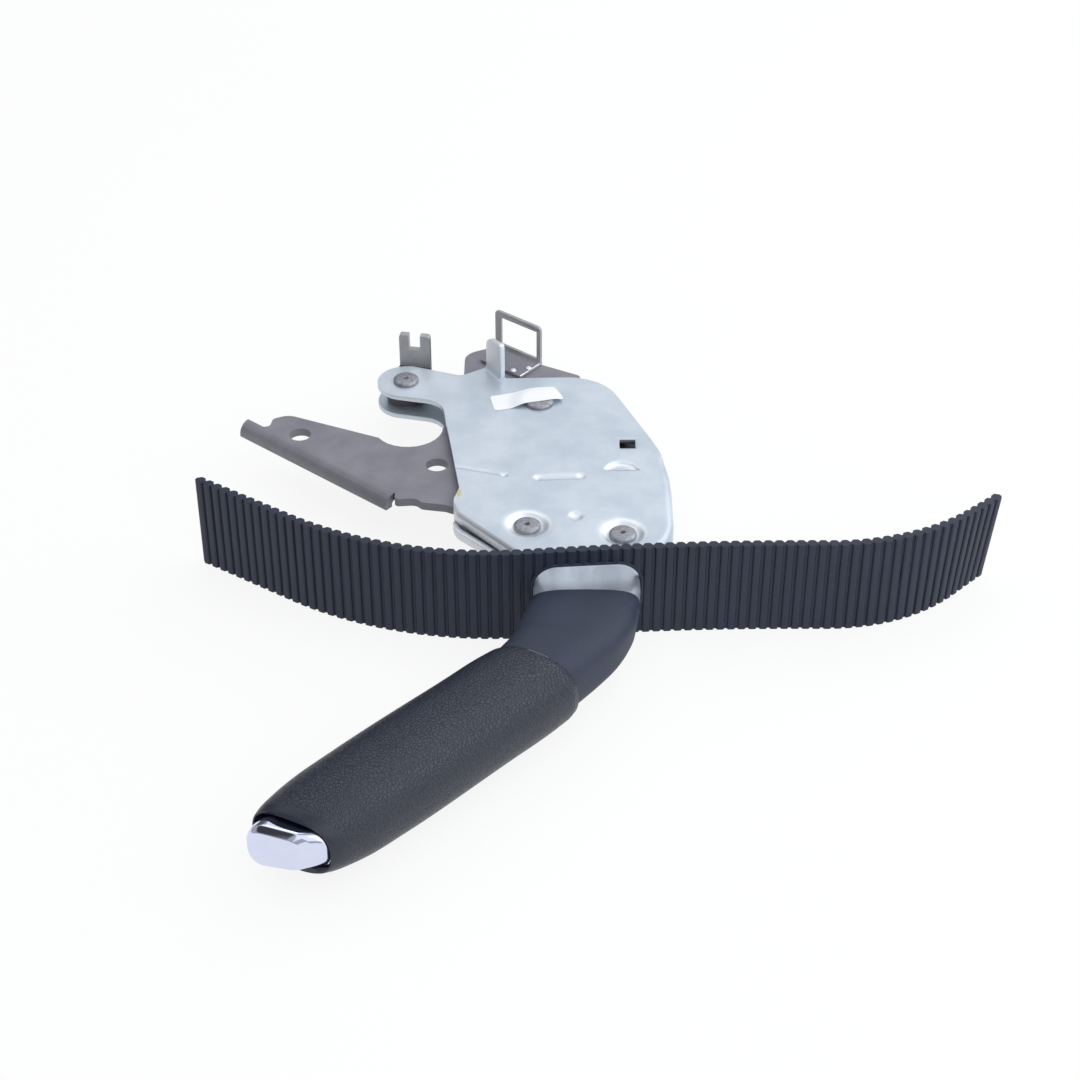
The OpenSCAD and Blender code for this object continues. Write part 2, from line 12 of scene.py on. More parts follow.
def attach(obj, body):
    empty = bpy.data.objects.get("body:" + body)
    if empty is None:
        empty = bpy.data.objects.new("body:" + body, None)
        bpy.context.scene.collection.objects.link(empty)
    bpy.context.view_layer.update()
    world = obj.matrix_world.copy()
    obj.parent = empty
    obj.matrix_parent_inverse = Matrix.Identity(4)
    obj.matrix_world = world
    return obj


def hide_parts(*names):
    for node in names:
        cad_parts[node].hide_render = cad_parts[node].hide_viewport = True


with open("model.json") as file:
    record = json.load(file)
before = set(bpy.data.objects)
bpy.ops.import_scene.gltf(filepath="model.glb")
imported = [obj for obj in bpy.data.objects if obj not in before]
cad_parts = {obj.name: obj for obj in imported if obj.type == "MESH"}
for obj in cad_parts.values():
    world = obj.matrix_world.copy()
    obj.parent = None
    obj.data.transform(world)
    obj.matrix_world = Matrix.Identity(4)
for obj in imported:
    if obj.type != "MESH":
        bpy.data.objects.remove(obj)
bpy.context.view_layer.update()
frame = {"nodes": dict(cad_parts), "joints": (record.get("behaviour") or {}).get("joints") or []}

# A parking brake lever: two pressed half shells on a ratchet plate, a rubber covered grip with a
# chrome button and a ribbed dust strip round its neck. Plan places are millimetres from the lever's
# pivot, heights are millimetres from the middle plane between the shells.
MM = 0.001
# Points that lie nearer to each other than this, in metres, are one point
weld = 1e-6
joints = {joint["name"]: joint for joint in frame["joints"]}
pivot = Vector(joints["lever_pull"]["pos_m"])

# Pressed shells
shell_top = 5.5
shell_t = 2.0
seam = 0.25
bend_r = 2.6
cut_inset = 0.6
ear_at = (-56.024, 16.489)
ear_r = 12.0
pawl_at = (-4.5, -87.0)
arm_at = (32.0, -92.5)
post_at = (14.2, -81.6)
neck_left = -2.2
neck_right = 37.6
window_at = (35.7, -31.5)
window_w = 6.5
lug_from = (-20.7, 28.6)
lug_to = (-14.4, 18.7)
lug_top = 22.2
slot_ends = (-0.4, -55.5), (16.5, -54.5)
bead_from = (-36.0, -46.8)
bead_to = (-13.7, -53.4)
moon_at = (32.8, -51.3)
upper_front = [(-33.2, -77.2, 6), (neck_left, -111.3, 15)]
lower_front = [(-33.4, -82.0, 9), (neck_left, -113.2, 14)]

# Rivets
dimple_floor = 4.0
pin_head_d = 10.6
pivot_head_d = 12.6
head_h = 1.7

# Yoke and guide bracket
yoke_inside = 4.4
guide_foot_top = 3.4
weld_pips = (-11, 28.5), (-4.5, 30.2)
pip_r = 2.6
pip_bottom = 2.9

# Grip, collar and button
grip_at = (1.95, -171.5)
grip_heading = math.radians(-134)
grip_l = 117.5
grip_w = 37.2
grip_h = 29.6
rear_slant = math.radians(14)
rear_shift = 4.5
front_slant = math.radians(17)
button_slant = math.radians(24)
button_w = 25.2
# The button's face is a little deeper at its left end
button_taper = 0.15
button_h = 16.0
button_front = grip_l + 5.8

# Ribbed strip
strip_start = (-131.5, -74.9)
strip_heading = -34.0
strip_runs = [(45, 0), (95, 40), (112, -6.5), (58, 43.5), (40, 0)]
strip_w = 39.0
strip_t = 3.6
strip_drop = -1.0
rib_pitch = 4.05
rib_count = 81
end_lean = math.radians(6)
# The soft edge of the hole lies against the neck
hole_left = neck_left - 0.2
hole_right = neck_right + 0.4
hole_h = 26.0
hole_corner = 9.0
floor_z = strip_drop - strip_w / 2

# Sticker
paper_gap = 0.06
paper_t = 0.12

# Sockets that share a name with others on their node: the colour Mix and the Map Range
SHARE, A, B, MIXED = 0, 6, 7, 2
LOW, HIGH, TO_LOW, TO_HIGH = 1, 2, 3, 4

# Colours that more than one finish shows
# Near black painted shade, inside the shells and under their window
painted_shade_colour = "#1b1d22"
pure_white = (1.0, 1.0, 1.0, 1.0)


def place(x, y, z=0.0):
    """A point given in millimetres from the pivot, in the row frame in metres."""
    return Vector((pivot.x + x * MM, pivot.y + y * MM, pivot.z + z * MM))


def on_grip(along, side, z=0.0):
    """A point along the grip, with an offset to its right and a height."""
    u = Vector((math.cos(grip_heading), math.sin(grip_heading)))
    x, y = Vector(grip_at) + along * u + side * Vector((-u.y, u.x))
    return (x, y, z)


def smooth_step(a, b, x):
    """0 before a, 1 after b and a soft ramp between, for numbers or arrays."""
    t = np.clip((np.asarray(x, float) - a) / (b - a), 0.0, 1.0)
    return t * t * (3 - 2 * t)


def distance(x, y, spot):
    """How far places on the plan lie from a spot."""
    return np.hypot(x - spot[0], y - spot[1])


def lattice(left, right, front, back, step):
    """Places on a square lattice over part of the plan."""
    across, along = np.meshgrid(np.arange(left, right, step), np.arange(front, back, step))
    return np.stack((across, along), -1).reshape(-1, 2)


def rounded(corners):
    """Points of an outline whose corners are written as x, y and a radius."""
    points = []
    count = len(corners)
    for i, (x, y, r) in enumerate(corners):
        p = Vector((x, y))
        before = Vector(corners[i - 1][:2]) - p
        after = Vector(corners[(i + 1) % count][:2]) - p
        if r == 0:
            points.append(p)
            continue
        room = 0.49 * min(before.length, after.length)
        u, v = before.normalized(), after.normalized()
        half = u.angle(v) / 2
        r = min(r, room * math.tan(half))
        centre = p + (u + v).normalized() * r / math.sin(half)
        start = p + u * r / math.tan(half) - centre
        turn = (1 if u.x * v.y - u.y * v.x < 0 else -1) * (math.pi - 2 * half)
        steps = max(2, math.ceil(abs(turn) / math.radians(7)))
        for k in range(steps + 1):
            a = turn * k / steps
            points.append(centre + Vector((
                start.x * math.cos(a) - start.y * math.sin(a),
                start.x * math.sin(a) + start.y * math.cos(a),
            )))
    return points


def spaced(ring, gap):
    """The closed ring with points added so that none lie further apart than the gap."""
    points = []
    for a, b in zip(ring, ring[1:] + ring[:1]):
        steps = max(1, math.ceil((b - a).length / gap))
        if (b - a).length > 1e-4:
            points += [a.lerp(b, k / steps) for k in range(steps)]
    return points


def inside(points, ring):
    """Which of the points lie within the closed ring."""
    hit = np.zeros(len(points), bool)
    x, y = points[:, 0], points[:, 1]
    for (ax, ay), (bx, by) in zip(ring, np.roll(ring, -1, axis=0)):
        if ay != by:
            hit ^= ((ay > y) != (by > y)) & (x < (bx - ax) * (y - ay) / (by - ay) + ax)
    return hit


def clear_of(points, ring, gap):
    """Which of the points keep the gap from every point of the ring."""
    free = np.ones(len(points), bool)
    for p in ring:
        free &= (points[:, 0] - p[0]) ** 2 + (points[:, 1] - p[1]) ** 2 > gap * gap
    return free


def srgb(code):
    """A colour written as an sRGB hex value, in the linear numbers that shaders take."""
    parts = [int(code[i:i + 2], 16) / 255 for i in (1, 3, 5)]
    return tuple(c / 12.92 if c <= 0.04045 else ((c + 0.055) / 1.055) ** 2.4 for c in parts) + (1.0,)


def per_mm(size):
    """The texture scale at which a pattern repeats about once in that many millimetres."""
    return 1.0 / (size * MM)


def node(tree, kind, inputs=None, output=None, **settings):
    """Adds a node with its settings; an input takes a value or another node's output. Gives the node
    or, where one is named, its output."""
    made = tree.nodes.new(kind)
    for key, value in settings.items():
        setattr(made, key, value)
    for key, value in (inputs or {}).items():
        if isinstance(value, bpy.types.NodeSocket):
            tree.links.new(value, made.inputs[key])
        else:
            made.inputs[key].default_value = value
    return made if output is None else made.outputs[output]


def finish(name, **constants):
    """A new material with its surface shader, its node tree and the piece's own coordinates."""
    material = bpy.data.materials.new(name)
    material.use_nodes = True
    tree = material.node_tree
    shader = tree.nodes["Principled BSDF"]
    for key, value in constants.items():
        shader.inputs[key.replace("_", " ")].default_value = value
    return material, tree, shader, node(tree, "ShaderNodeTexCoord", output="Object")


def lead(tree, shader, **outputs):
    """Leads outputs of nodes to the surface shader's inputs."""
    for key, value in outputs.items():
        tree.links.new(value, shader.inputs[key.replace("_", " ")])


def zinc_plated_sheet():
    """Pressed steel sheet in bright zinc: a pale blue grey with a soft sheen, faint cloudy patches,
    rolling marks, dull rub marks, scuffed bare steel at the neck in darker tones that are painted shade,
    one smear of yellow paint, painted highlights on the pressed features and painted shade inside."""
    material, tree, shader, coords = finish("zinc_plated_pressed_steel", Metallic=0.6)
    clouds = node(tree, "ShaderNodeTexNoise", {
        "Vector": coords, "Scale": per_mm(16), "Detail": 4.0, "Roughness": 0.55,
    }, "Fac")
    cloudy = node(tree, "ShaderNodeMapRange", {"Value": clouds, LOW: 0.35, HIGH: 0.65}, "Result")
    tone = node(tree, "ShaderNodeMix", {
        SHARE: cloudy, A: srgb("#c3ccd6"), B: srgb("#d3dbe3"),
    }, MIXED, data_type="RGBA")
    # Rolling marks are finer than a pixel, so they are drawn 0.5 mm wide
    rolling = node(tree, "ShaderNodeMapping", {"Vector": coords, "Scale": (1.0, 0.08, 1.0)}, "Vector")
    rolled = node(tree, "ShaderNodeTexNoise", {
        "Vector": rolling, "Scale": per_mm(0.5), "Detail": 2.0,
    }, "Fac")
    rubs = node(tree, "ShaderNodeTexNoise", {
        "Vector": coords, "Scale": per_mm(7), "Detail": 6.0, "Roughness": 0.7, "Distortion": 0.6,
    }, "Fac")
    rubbed = node(tree, "ShaderNodeMapRange", {
        "Value": rubs, LOW: 0.6, HIGH: 0.78, TO_LOW: 0.0, TO_HIGH: 0.28,
    }, "Result")
    tone = node(tree, "ShaderNodeMix", {SHARE: rubbed, A: tone, B: srgb("#a9b0bd")}, MIXED, data_type="RGBA")
    # Bare, scratched steel where the neck passes through the strip, its tones painted darker as the shade
    # there
    axes = node(tree, "ShaderNodeSeparateXYZ", {"Vector": coords})
    at_neck = node(tree, "ShaderNodeMapRange", {
        "Value": axes.outputs["Y"], LOW: place(0, -106).y, HIGH: place(0, -115).y, TO_LOW: 0.0, TO_HIGH: 0.6,
    }, "Result")
    scratching = node(tree, "ShaderNodeMapping", {
        "Vector": coords, "Rotation": (0, 0, math.radians(38)), "Scale": (1.0, 0.3, 1.0),
    }, "Vector")
    scratches = node(tree, "ShaderNodeTexNoise", {
        "Vector": scratching, "Scale": per_mm(9), "Detail": 4.0, "Roughness": 0.55,
    }, "Fac")
    scratched = node(tree, "ShaderNodeMapRange", {"Value": scratches, LOW: 0.36, HIGH: 0.62}, "Result")
    scratched_with_painted_shade = node(tree, "ShaderNodeMix", {
        SHARE: scratched, A: srgb("#8b919d"), B: srgb("#b9c1cc"),
    }, MIXED, data_type="RGBA")
    tone = node(tree, "ShaderNodeMix", {SHARE: at_neck, A: tone, B: scratched_with_painted_shade}, MIXED, data_type="RGBA")
    # A smear of inspection paint on the left edge, about 3 by 8 mm
    from_smear = node(tree, "ShaderNodeVectorMath", {0: coords, 1: place(-31.6, -66.0, 4.6)}, "Vector",
                      operation="SUBTRACT")
    shrunk = node(tree, "ShaderNodeVectorMath", {
        0: from_smear, 1: (per_mm(1.4), per_mm(3.6), per_mm(2.4)),
    }, "Vector", operation="MULTIPLY")
    away = node(tree, "ShaderNodeVectorMath", {0: shrunk}, "Value", operation="LENGTH")
    wobble = node(tree, "ShaderNodeTexNoise", {"Vector": coords, "Scale": per_mm(1.6), "Detail": 3.0}, "Fac")
    ragged = node(tree, "ShaderNodeMath", {0: wobble, 1: 1.3, 2: away}, 0, operation="MULTIPLY_ADD")
    painted = node(tree, "ShaderNodeMapRange", {
        "Value": ragged, LOW: 1.35, HIGH: 1.7, TO_LOW: 0.85, TO_HIGH: 0.0,
    }, "Result")
    tone = node(tree, "ShaderNodeMix", {SHARE: painted, A: tone, B: srgb("#cfc184")}, MIXED, data_type="RGBA")
    # Painted highlights brighten the pressed features, the lug and the front left wall, and painted shade
    # darkens the inside
    burnish = node(tree, "ShaderNodeAttribute", output="Fac", attribute_name="burnish")
    tone = node(tree, "ShaderNodeMix", {SHARE: burnish, A: tone, B: srgb("#fbfcfd")}, MIXED, data_type="RGBA")
    grease = node(tree, "ShaderNodeAttribute", output="Fac", attribute_name="grease")
    tone = node(tree, "ShaderNodeMix", {
        SHARE: grease, A: tone, B: srgb(painted_shade_colour),
    }, MIXED, data_type="RGBA")
    rough = node(tree, "ShaderNodeMapRange", {
        "Value": rolled, LOW: 0.3, HIGH: 0.7, TO_LOW: 0.34, TO_HIGH: 0.42,
    }, "Result")
    bump = node(tree, "ShaderNodeBump", {"Height": clouds, "Strength": 0.04, "Distance": 0.6 * MM}, "Normal")
    lead(tree, shader, Base_Color=tone, Roughness=rough, Normal=bump)
    return material


def phosphated_steel(name, clean, oily, crystal):
    """Phosphated steel: a dull, slightly purple grey with a fine crystal grain, darker smudges of dried
    oil and near black painted shade under the shell's window."""
    material, tree, shader, coords = finish(name, Metallic=0.25)
    smudge = node(tree, "ShaderNodeTexNoise", {
        "Vector": coords, "Scale": per_mm(11), "Detail": 5.0, "Roughness": 0.6,
    }, "Fac")
    # Phosphate crystals are hundredths of a millimetre; they are drawn at 0.4 mm
    crystals = node(tree, "ShaderNodeTexNoise", {
        "Vector": coords, "Scale": per_mm(0.4), "Detail": 3.0,
    }, "Fac")
    oiled = node(tree, "ShaderNodeMapRange", {"Value": smudge, LOW: 0.35, HIGH: 0.68}, "Result")
    tone = node(tree, "ShaderNodeMix", {SHARE: oiled, A: srgb(clean), B: srgb(oily)}, MIXED, data_type="RGBA")
    bright = node(tree, "ShaderNodeMapRange", {
        "Value": crystals, LOW: 0.45, HIGH: 0.75, TO_LOW: 0.0, TO_HIGH: 0.3,
    }, "Result")
    tone = node(tree, "ShaderNodeMix", {SHARE: bright, A: tone, B: srgb(crystal)}, MIXED, data_type="RGBA")
    # Painted shade: near black round the place under the shell's window
    below_window = node(tree, "ShaderNodeVectorMath", {0: coords, 1: place(*window_at)}, "Value",
                        operation="DISTANCE")
    painted_shade_near_window = node(tree, "ShaderNodeMapRange", {
        "Value": below_window, LOW: 9 * MM, HIGH: 12 * MM, TO_LOW: 0.92, TO_HIGH: 0.0,
    }, "Result")
    tone = node(tree, "ShaderNodeMix", {
        SHARE: painted_shade_near_window, A: tone, B: srgb(painted_shade_colour),
    }, MIXED, data_type="RGBA")
    rough = node(tree, "ShaderNodeMapRange", {
        "Value": smudge, LOW: 0.3, HIGH: 0.7, TO_LOW: 0.58, TO_HIGH: 0.46,
    }, "Result")
    bump = node(tree, "ShaderNodeBump", {
        "Height": crystals, "Strength": 0.12, "Distance": 0.1 * MM,
    }, "Normal")
    lead(tree, shader, Base_Color=tone, Roughness=rough, Normal=bump)
    return material


def turned_steel(name, light, dark, roughness):
    """Turned or headed plain steel: a mid grey metal with tool marks that catch the light."""
    material, tree, shader, coords = finish(name, Metallic=1.0)
    marks = node(tree, "ShaderNodeTexNoise", {
        "Vector": coords, "Scale": per_mm(1.4), "Detail": 5.0, "Roughness": 0.65,
    }, "Fac")
    marked = node(tree, "ShaderNodeMapRange", {"Value": marks, LOW: 0.38, HIGH: 0.65}, "Result")
    tone = node(tree, "ShaderNodeMix", {
        SHARE: marked, A: srgb(light), B: srgb(dark),
    }, MIXED, data_type="RGBA")
    rough = node(tree, "ShaderNodeMapRange", {
        "Value": marks, LOW: 0.3, HIGH: 0.7, TO_LOW: roughness - 0.06, TO_HIGH: roughness + 0.08,
    }, "Result")
    bump = node(tree, "ShaderNodeBump", {"Height": marks, "Strength": 0.06, "Distance": 0.2 * MM}, "Normal")
    lead(tree, shader, Base_Color=tone, Roughness=rough, Normal=bump)
    return material


def chrome_plate():
    """Chrome plate on a moulded button: a sharp cool mirror with a trace of polishing haze."""
    material, tree, shader, coords = finish("chrome_plated_button", Metallic=1.0)
    haze = node(tree, "ShaderNodeTexNoise", {"Vector": coords, "Scale": per_mm(5), "Detail": 4.0}, "Fac")
    tone = node(tree, "ShaderNodeMix", {
        SHARE: haze, A: srgb("#d1d6ee"), B: srgb("#dce1f3"),
    }, MIXED, data_type="RGBA")
    rough = node(tree, "ShaderNodeMapRange", {
        "Value": haze, LOW: 0.35, HIGH: 0.7, TO_LOW: 0.05, TO_HIGH: 0.1,
    }, "Result")
    lead(tree, shader, Base_Color=tone, Roughness=rough)
    return material


def grained_grip_vinyl():
    """Moulded vinyl with a leather grain: charcoal, small pebbles of under a millimetre with wrinkles
    between them that break the highlight into specks, painted shade in the wrinkles and pale specks
    painted as highlights; plain at the front rim."""
    material, tree, shader, coords = finish("leather_grain_moulded_vinyl", IOR=1.52, Specular_IOR_Level=0.5)
    warp = node(tree, "ShaderNodeTexNoise", {"Vector": coords, "Scale": per_mm(2.2), "Detail": 2.0}, "Color")
    warped = node(tree, "ShaderNodeVectorMath", {0: warp, 1: (0.0008, 0.0008, 0.0008), 2: coords}, "Vector",
                  operation="MULTIPLY_ADD")
    pebbles = node(tree, "ShaderNodeTexVoronoi", {
        "Vector": warped, "Scale": per_mm(0.9), "Smoothness": 0.35,
    }, "Distance", feature="SMOOTH_F1")
    wrinkles = node(tree, "ShaderNodeTexVoronoi", {"Vector": warped, "Scale": per_mm(1.3)}, "Distance",
                    feature="DISTANCE_TO_EDGE")
    creased = node(tree, "ShaderNodeMapRange", {"Value": wrinkles, LOW: 0.0, HIGH: 0.16}, "Result")
    speck = node(tree, "ShaderNodeTexNoise", {"Vector": coords, "Scale": per_mm(0.45), "Detail": 2.0}, "Fac")
    from_rear = node(tree, "ShaderNodeVectorMath", {0: coords, 1: place(*grip_at)}, "Vector",
                     operation="SUBTRACT")
    u = Vector((math.cos(grip_heading), math.sin(grip_heading), 0))
    side = Vector((-u.y, u.x, 0))
    to_rim = node(tree, "ShaderNodeVectorMath", {0: from_rear, 1: u + side * math.tan(front_slant)}, "Value",
                  operation="DOT_PRODUCT")
    grained = node(tree, "ShaderNodeMapRange", {
        "Value": to_rim, LOW: (grip_l - 2.0) * MM, HIGH: (grip_l - 5.0) * MM,
    }, "Result")
    relief = node(tree, "ShaderNodeMath", {0: pebbles, 1: 0.35, 2: creased}, 0, operation="MULTIPLY_ADD")
    relief = node(tree, "ShaderNodeMath", {0: speck, 1: 0.4, 2: relief}, 0, operation="MULTIPLY_ADD")
    relief = node(tree, "ShaderNodeMath", {0: relief, 1: grained}, 0, operation="MULTIPLY")
    # Painted shade: the wrinkles are coloured darker than the pebbles
    tone = node(tree, "ShaderNodeMix", {
        SHARE: creased, A: srgb("#0f131c"), B: srgb("#1f2637"),
    }, MIXED, data_type="RGBA")
    # Painted highlights: pale specks scattered over the grain
    bright = node(tree, "ShaderNodeMapRange", {
        "Value": speck, LOW: 0.52, HIGH: 0.8, TO_LOW: 0.0, TO_HIGH: 0.3,
    }, "Result")
    tone = node(tree, "ShaderNodeMix", {SHARE: bright, A: tone, B: srgb("#465270")}, MIXED, data_type="RGBA")
    tone = node(tree, "ShaderNodeMix", {SHARE: grained, A: srgb("#191f2d"), B: tone}, MIXED, data_type="RGBA")
    # The lip of the mould has left a pale rub along a few millimetres of the rear edge
    from_edge = node(tree, "ShaderNodeVectorMath", {
        0: from_rear, 1: u + side * math.tan(rear_slant),
    }, "Value", operation="DOT_PRODUCT")
    at_edge = node(tree, "ShaderNodeMapRange", {
        "Value": from_edge, LOW: (rear_shift + 0.5) * MM, HIGH: (rear_shift + 0.9) * MM,
        TO_LOW: 0.8, TO_HIGH: 0.0,
    }, "Result")
    rub_and_painted_highlight = node(tree, "ShaderNodeVectorMath", {0: coords, 1: place(*on_grip(rear_shift, 1.5, 13.0))}, "Value",
               operation="DISTANCE")
    near = node(tree, "ShaderNodeMapRange", {
        "Value": rub_and_painted_highlight, LOW: 0.0035, HIGH: 0.0045, TO_LOW: 1.0, TO_HIGH: 0.0,
    }, "Result")
    rubbed = node(tree, "ShaderNodeMath", {0: at_edge, 1: near}, 0, operation="MULTIPLY")
    tone = node(tree, "ShaderNodeMix", {SHARE: rubbed, A: tone, B: srgb("#9a9ca6")}, MIXED, data_type="RGBA")
    rough = node(tree, "ShaderNodeMapRange", {
        "Value": speck, LOW: 0.3, HIGH: 0.7, TO_LOW: 0.3, TO_HIGH: 0.46,
    }, "Result")
    bump = node(tree, "ShaderNodeBump", {"Height": relief, "Strength": 0.8, "Distance": 0.16 * MM}, "Normal")
    lead(tree, shader, Base_Color=tone, Roughness=rough, Normal=bump)
    return material


def moulded_rubber(name, light, dark, roughness, dust):
    """Moulded rubber: matt and even, with a very fine texture and fine pale specks of dust."""
    material, tree, shader, coords = finish(name, IOR=1.52, Specular_IOR_Level=0.35)
    even = node(tree, "ShaderNodeTexNoise", {
        "Vector": coords, "Scale": per_mm(14), "Detail": 4.0, "Roughness": 0.6,
    }, "Fac")
    fine = node(tree, "ShaderNodeTexNoise", {"Vector": coords, "Scale": per_mm(0.5), "Detail": 3.0}, "Fac")
    mottled = node(tree, "ShaderNodeMapRange", {"Value": even, LOW: 0.35, HIGH: 0.65}, "Result")
    tone = node(tree, "ShaderNodeMix", {
        SHARE: mottled, A: srgb(dark), B: srgb(light),
    }, MIXED, data_type="RGBA")
    dusty = node(tree, "ShaderNodeMapRange", {
        "Value": fine, LOW: 0.58, HIGH: 0.78, TO_LOW: 0.0, TO_HIGH: dust,
    }, "Result")
    tone = node(tree, "ShaderNodeMix", {SHARE: dusty, A: tone, B: srgb("#8b8e98")}, MIXED, data_type="RGBA")
    rough = node(tree, "ShaderNodeMapRange", {
        "Value": even, LOW: 0.3, HIGH: 0.7, TO_LOW: roughness - 0.05, TO_HIGH: roughness + 0.07,
    }, "Result")
    bump = node(tree, "ShaderNodeBump", {"Height": fine, "Strength": 0.14, "Distance": 0.12 * MM}, "Normal")
    lead(tree, shader, Base_Color=tone, Roughness=rough, Normal=bump)
    return material


def sticker_paper():
    """Plain coated paper: white with a faint fibre cloud and a soft satin face."""
    material, tree, shader, coords = finish("coated_white_paper", Roughness=0.55, IOR=1.5)
    fibre = node(tree, "ShaderNodeTexNoise", {
        "Vector": coords, "Scale": per_mm(1.2), "Detail": 5.0, "Roughness": 0.7,
    }, "Fac")
    tone = node(tree, "ShaderNodeMix", {
        SHARE: fibre, A: srgb("#f0f1f4"), B: srgb("#f8f8fa"),
    }, MIXED, data_type="RGBA")
    bump = node(tree, "ShaderNodeBump", {"Height": fibre, "Strength": 0.08, "Distance": 0.05 * MM}, "Normal")
    lead(tree, shader, Base_Color=tone, Normal=bump)
    return material


zinc = zinc_plated_sheet()
phosphate = phosphated_steel("phosphated_steel_plate", "#8c8a92", "#7b7981", "#9a98a0")
# A lighter copy of the plate's phosphated steel, as painted light
painted_light_phosphate = phosphated_steel("thin_phosphated_steel", "#b0b0b3", "#9c9b9d", "#bcbcbf")
# A darker copy of the phosphated steel, as painted shade
painted_shade_phosphate = phosphated_steel("oily_phosphated_steel", "#4a4a50", "#38383e", "#57575d")
rivet_steel = turned_steel("cold_headed_steel_rivet", "#acacb1", "#8c8c93", 0.5)
plain_steel = turned_steel("turned_plain_steel", "#a2a3a8", "#84858b", 0.34)
spring_steel = turned_steel("drawn_spring_steel", "#8f9197", "#6f7178", 0.3)
bronze = turned_steel("sintered_bronze", "#b48b52", "#94703f", 0.45)
# Weld metal, coloured near white as a painted highlight
weld_metal_painted_highlight = turned_steel("bright_weld_pip", "#f6f6f8", "#dcdce2", 0.3)
chrome = chrome_plate()
vinyl = grained_grip_vinyl()
collar_rubber = moulded_rubber("smooth_moulded_collar_rubber", "#2f3648", "#293040", 0.55, 0.14)
strip_rubber = moulded_rubber("extruded_strip_rubber", "#272e40", "#212837", 0.52, 0.06)
core_plastic = moulded_rubber("black_moulded_nylon", "#17181b", "#111215", 0.48, 0.06)
paper = sticker_paper()


def shown(name, data):
    """A new object in the scene."""
    made = bpy.data.objects.new(name, data)
    bpy.context.scene.collection.objects.link(made)
    return made


def settled(made, body, stands_for=()):
    """Rides the piece on its body and hides the solids it stands for."""
    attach(made, body)
    if stands_for:
        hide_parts(*stands_for)
    return made


def piece(name, points, faces, material, body, stands_for=()):
    """A mesh of points in millimetres from the pivot, riding on a body."""
    mesh = bpy.data.meshes.new(name)
    mesh.from_pydata([place(*p) for p in points], [], faces)
    mesh.materials.append(material)
    return settled(shown(name, mesh), body, stands_for)


@contextmanager
def opened(mesh):
    """The mesh opened for editing, and written back afterwards."""
    bm = bmesh.new()
    bm.from_mesh(mesh)
    yield bm
    bm.to_mesh(mesh)
    bm.free()


def outward(made):
    """The closed piece with all its faces turned outward."""
    with opened(made.data) as bm:
        bmesh.ops.remove_doubles(bm, verts=bm.verts, dist=weld)
        bmesh.ops.recalc_face_normals(bm, faces=bm.faces)
    return made


def smoothed(made, angle):
    """Smooth shading with creases where faces meet at more than the angle."""
    mesh = made.data
    mesh.polygons.foreach_set("use_smooth", [True] * len(mesh.polygons))
    mesh.set_sharp_from_angle(angle=math.radians(angle))
    return made


def baked(made):
    """The piece with the result of its modifiers as its plain mesh."""
    bpy.context.view_layer.update()
    graph = bpy.context.evaluated_depsgraph_get()
    mesh = bpy.data.meshes.new_from_object(made.evaluated_get(graph), depsgraph=graph)
    made.modifiers.clear()
    made.data = mesh
    return made


def edge_rounded(made, width, angle):
    """Rounds the piece's edges that are sharper than the angle, by a width in millimetres."""
    bevel = made.modifiers.new("edge round", "BEVEL")
    bevel.width = width * MM
    bevel.segments = 2
    bevel.limit_method = "ANGLE"
    bevel.angle_limit = math.radians(angle)
    return made


def bead(x, y, start, end, core, rim):
    """1 along a pressed groove between two places, falling to 0 at its rim."""
    ax, ay = start
    dx, dy = end[0] - ax, end[1] - ay
    t = np.clip(((x - ax) * dx + (y - ay) * dy) / (dx * dx + dy * dy), 0, 1)
    return 1 - smooth_step(core, rim, np.hypot(x - ax - t * dx, y - ay - t * dy))


def pressed_depth(x, y):
    """How far the shell's face lies below its plane at a place, in millimetres."""
    depth = np.zeros_like(x)
    # Round dimples under the two front rivets and, smaller, at the post
    for pin in (pawl_at, arm_at):
        r = distance(x, y, pin)
        depth += 1.32 * (1 - smooth_step(6.0, 8.6, r)) + 0.18 * (1 - smooth_step(8.6, 11.0, r))
    depth += 0.8 * (1 - smooth_step(0.8, 3.4, distance(x, y, post_at)))
    # A slot shaped bead with deeper ends, and a fine bead from the left edge to a small dimple
    depth += 0.22 * bead(x, y, *slot_ends, 1.0, 2.4)
    for end in slot_ends:
        depth += 0.34 * (1 - smooth_step(0.5, 2.0, distance(x, y, end)))
    depth += 0.28 * bead(x, y, bead_from, bead_to, 0.1, 1.3)
    depth += 0.4 * (1 - smooth_step(0.4, 1.7, distance(x, y, bead_to)))
    # The half moon stop is straight toward the front and round toward the back
    moon = distance(x, y, moon_at)
    depth += 0.9 * (1 - smooth_step(6.0, 7.3, moon)) * smooth_step(-50.6, -49.3, y)
    return depth


def shell_corners(front):
    """The shell's outline from its ear down the left edge, round the neck and back."""
    ear = [(ear_at[0] + ear_r * math.cos(a), ear_at[1] + ear_r * math.sin(a), 0)
           for a in (math.radians(70 + 183 * i / 30) for i in range(31))]
    return [
        *ear, (-40.3, 0.5, 10), (-31.3, -62.3, 1.5), (-33.2, -70, 4), *front,
        (neck_left, -126.5, 6), (2.8, -137, 3), (32.4, -137, 3), (neck_right, -126.5, 6),
        (neck_right, -117, 25), (51.8, -92, 30), (52.2, -45.4, 90), (26.6, 20, 22),
        (-13.9, 18.6, 1), (*lug_from, 1.5), (-33, 20.8, 4),
    ]


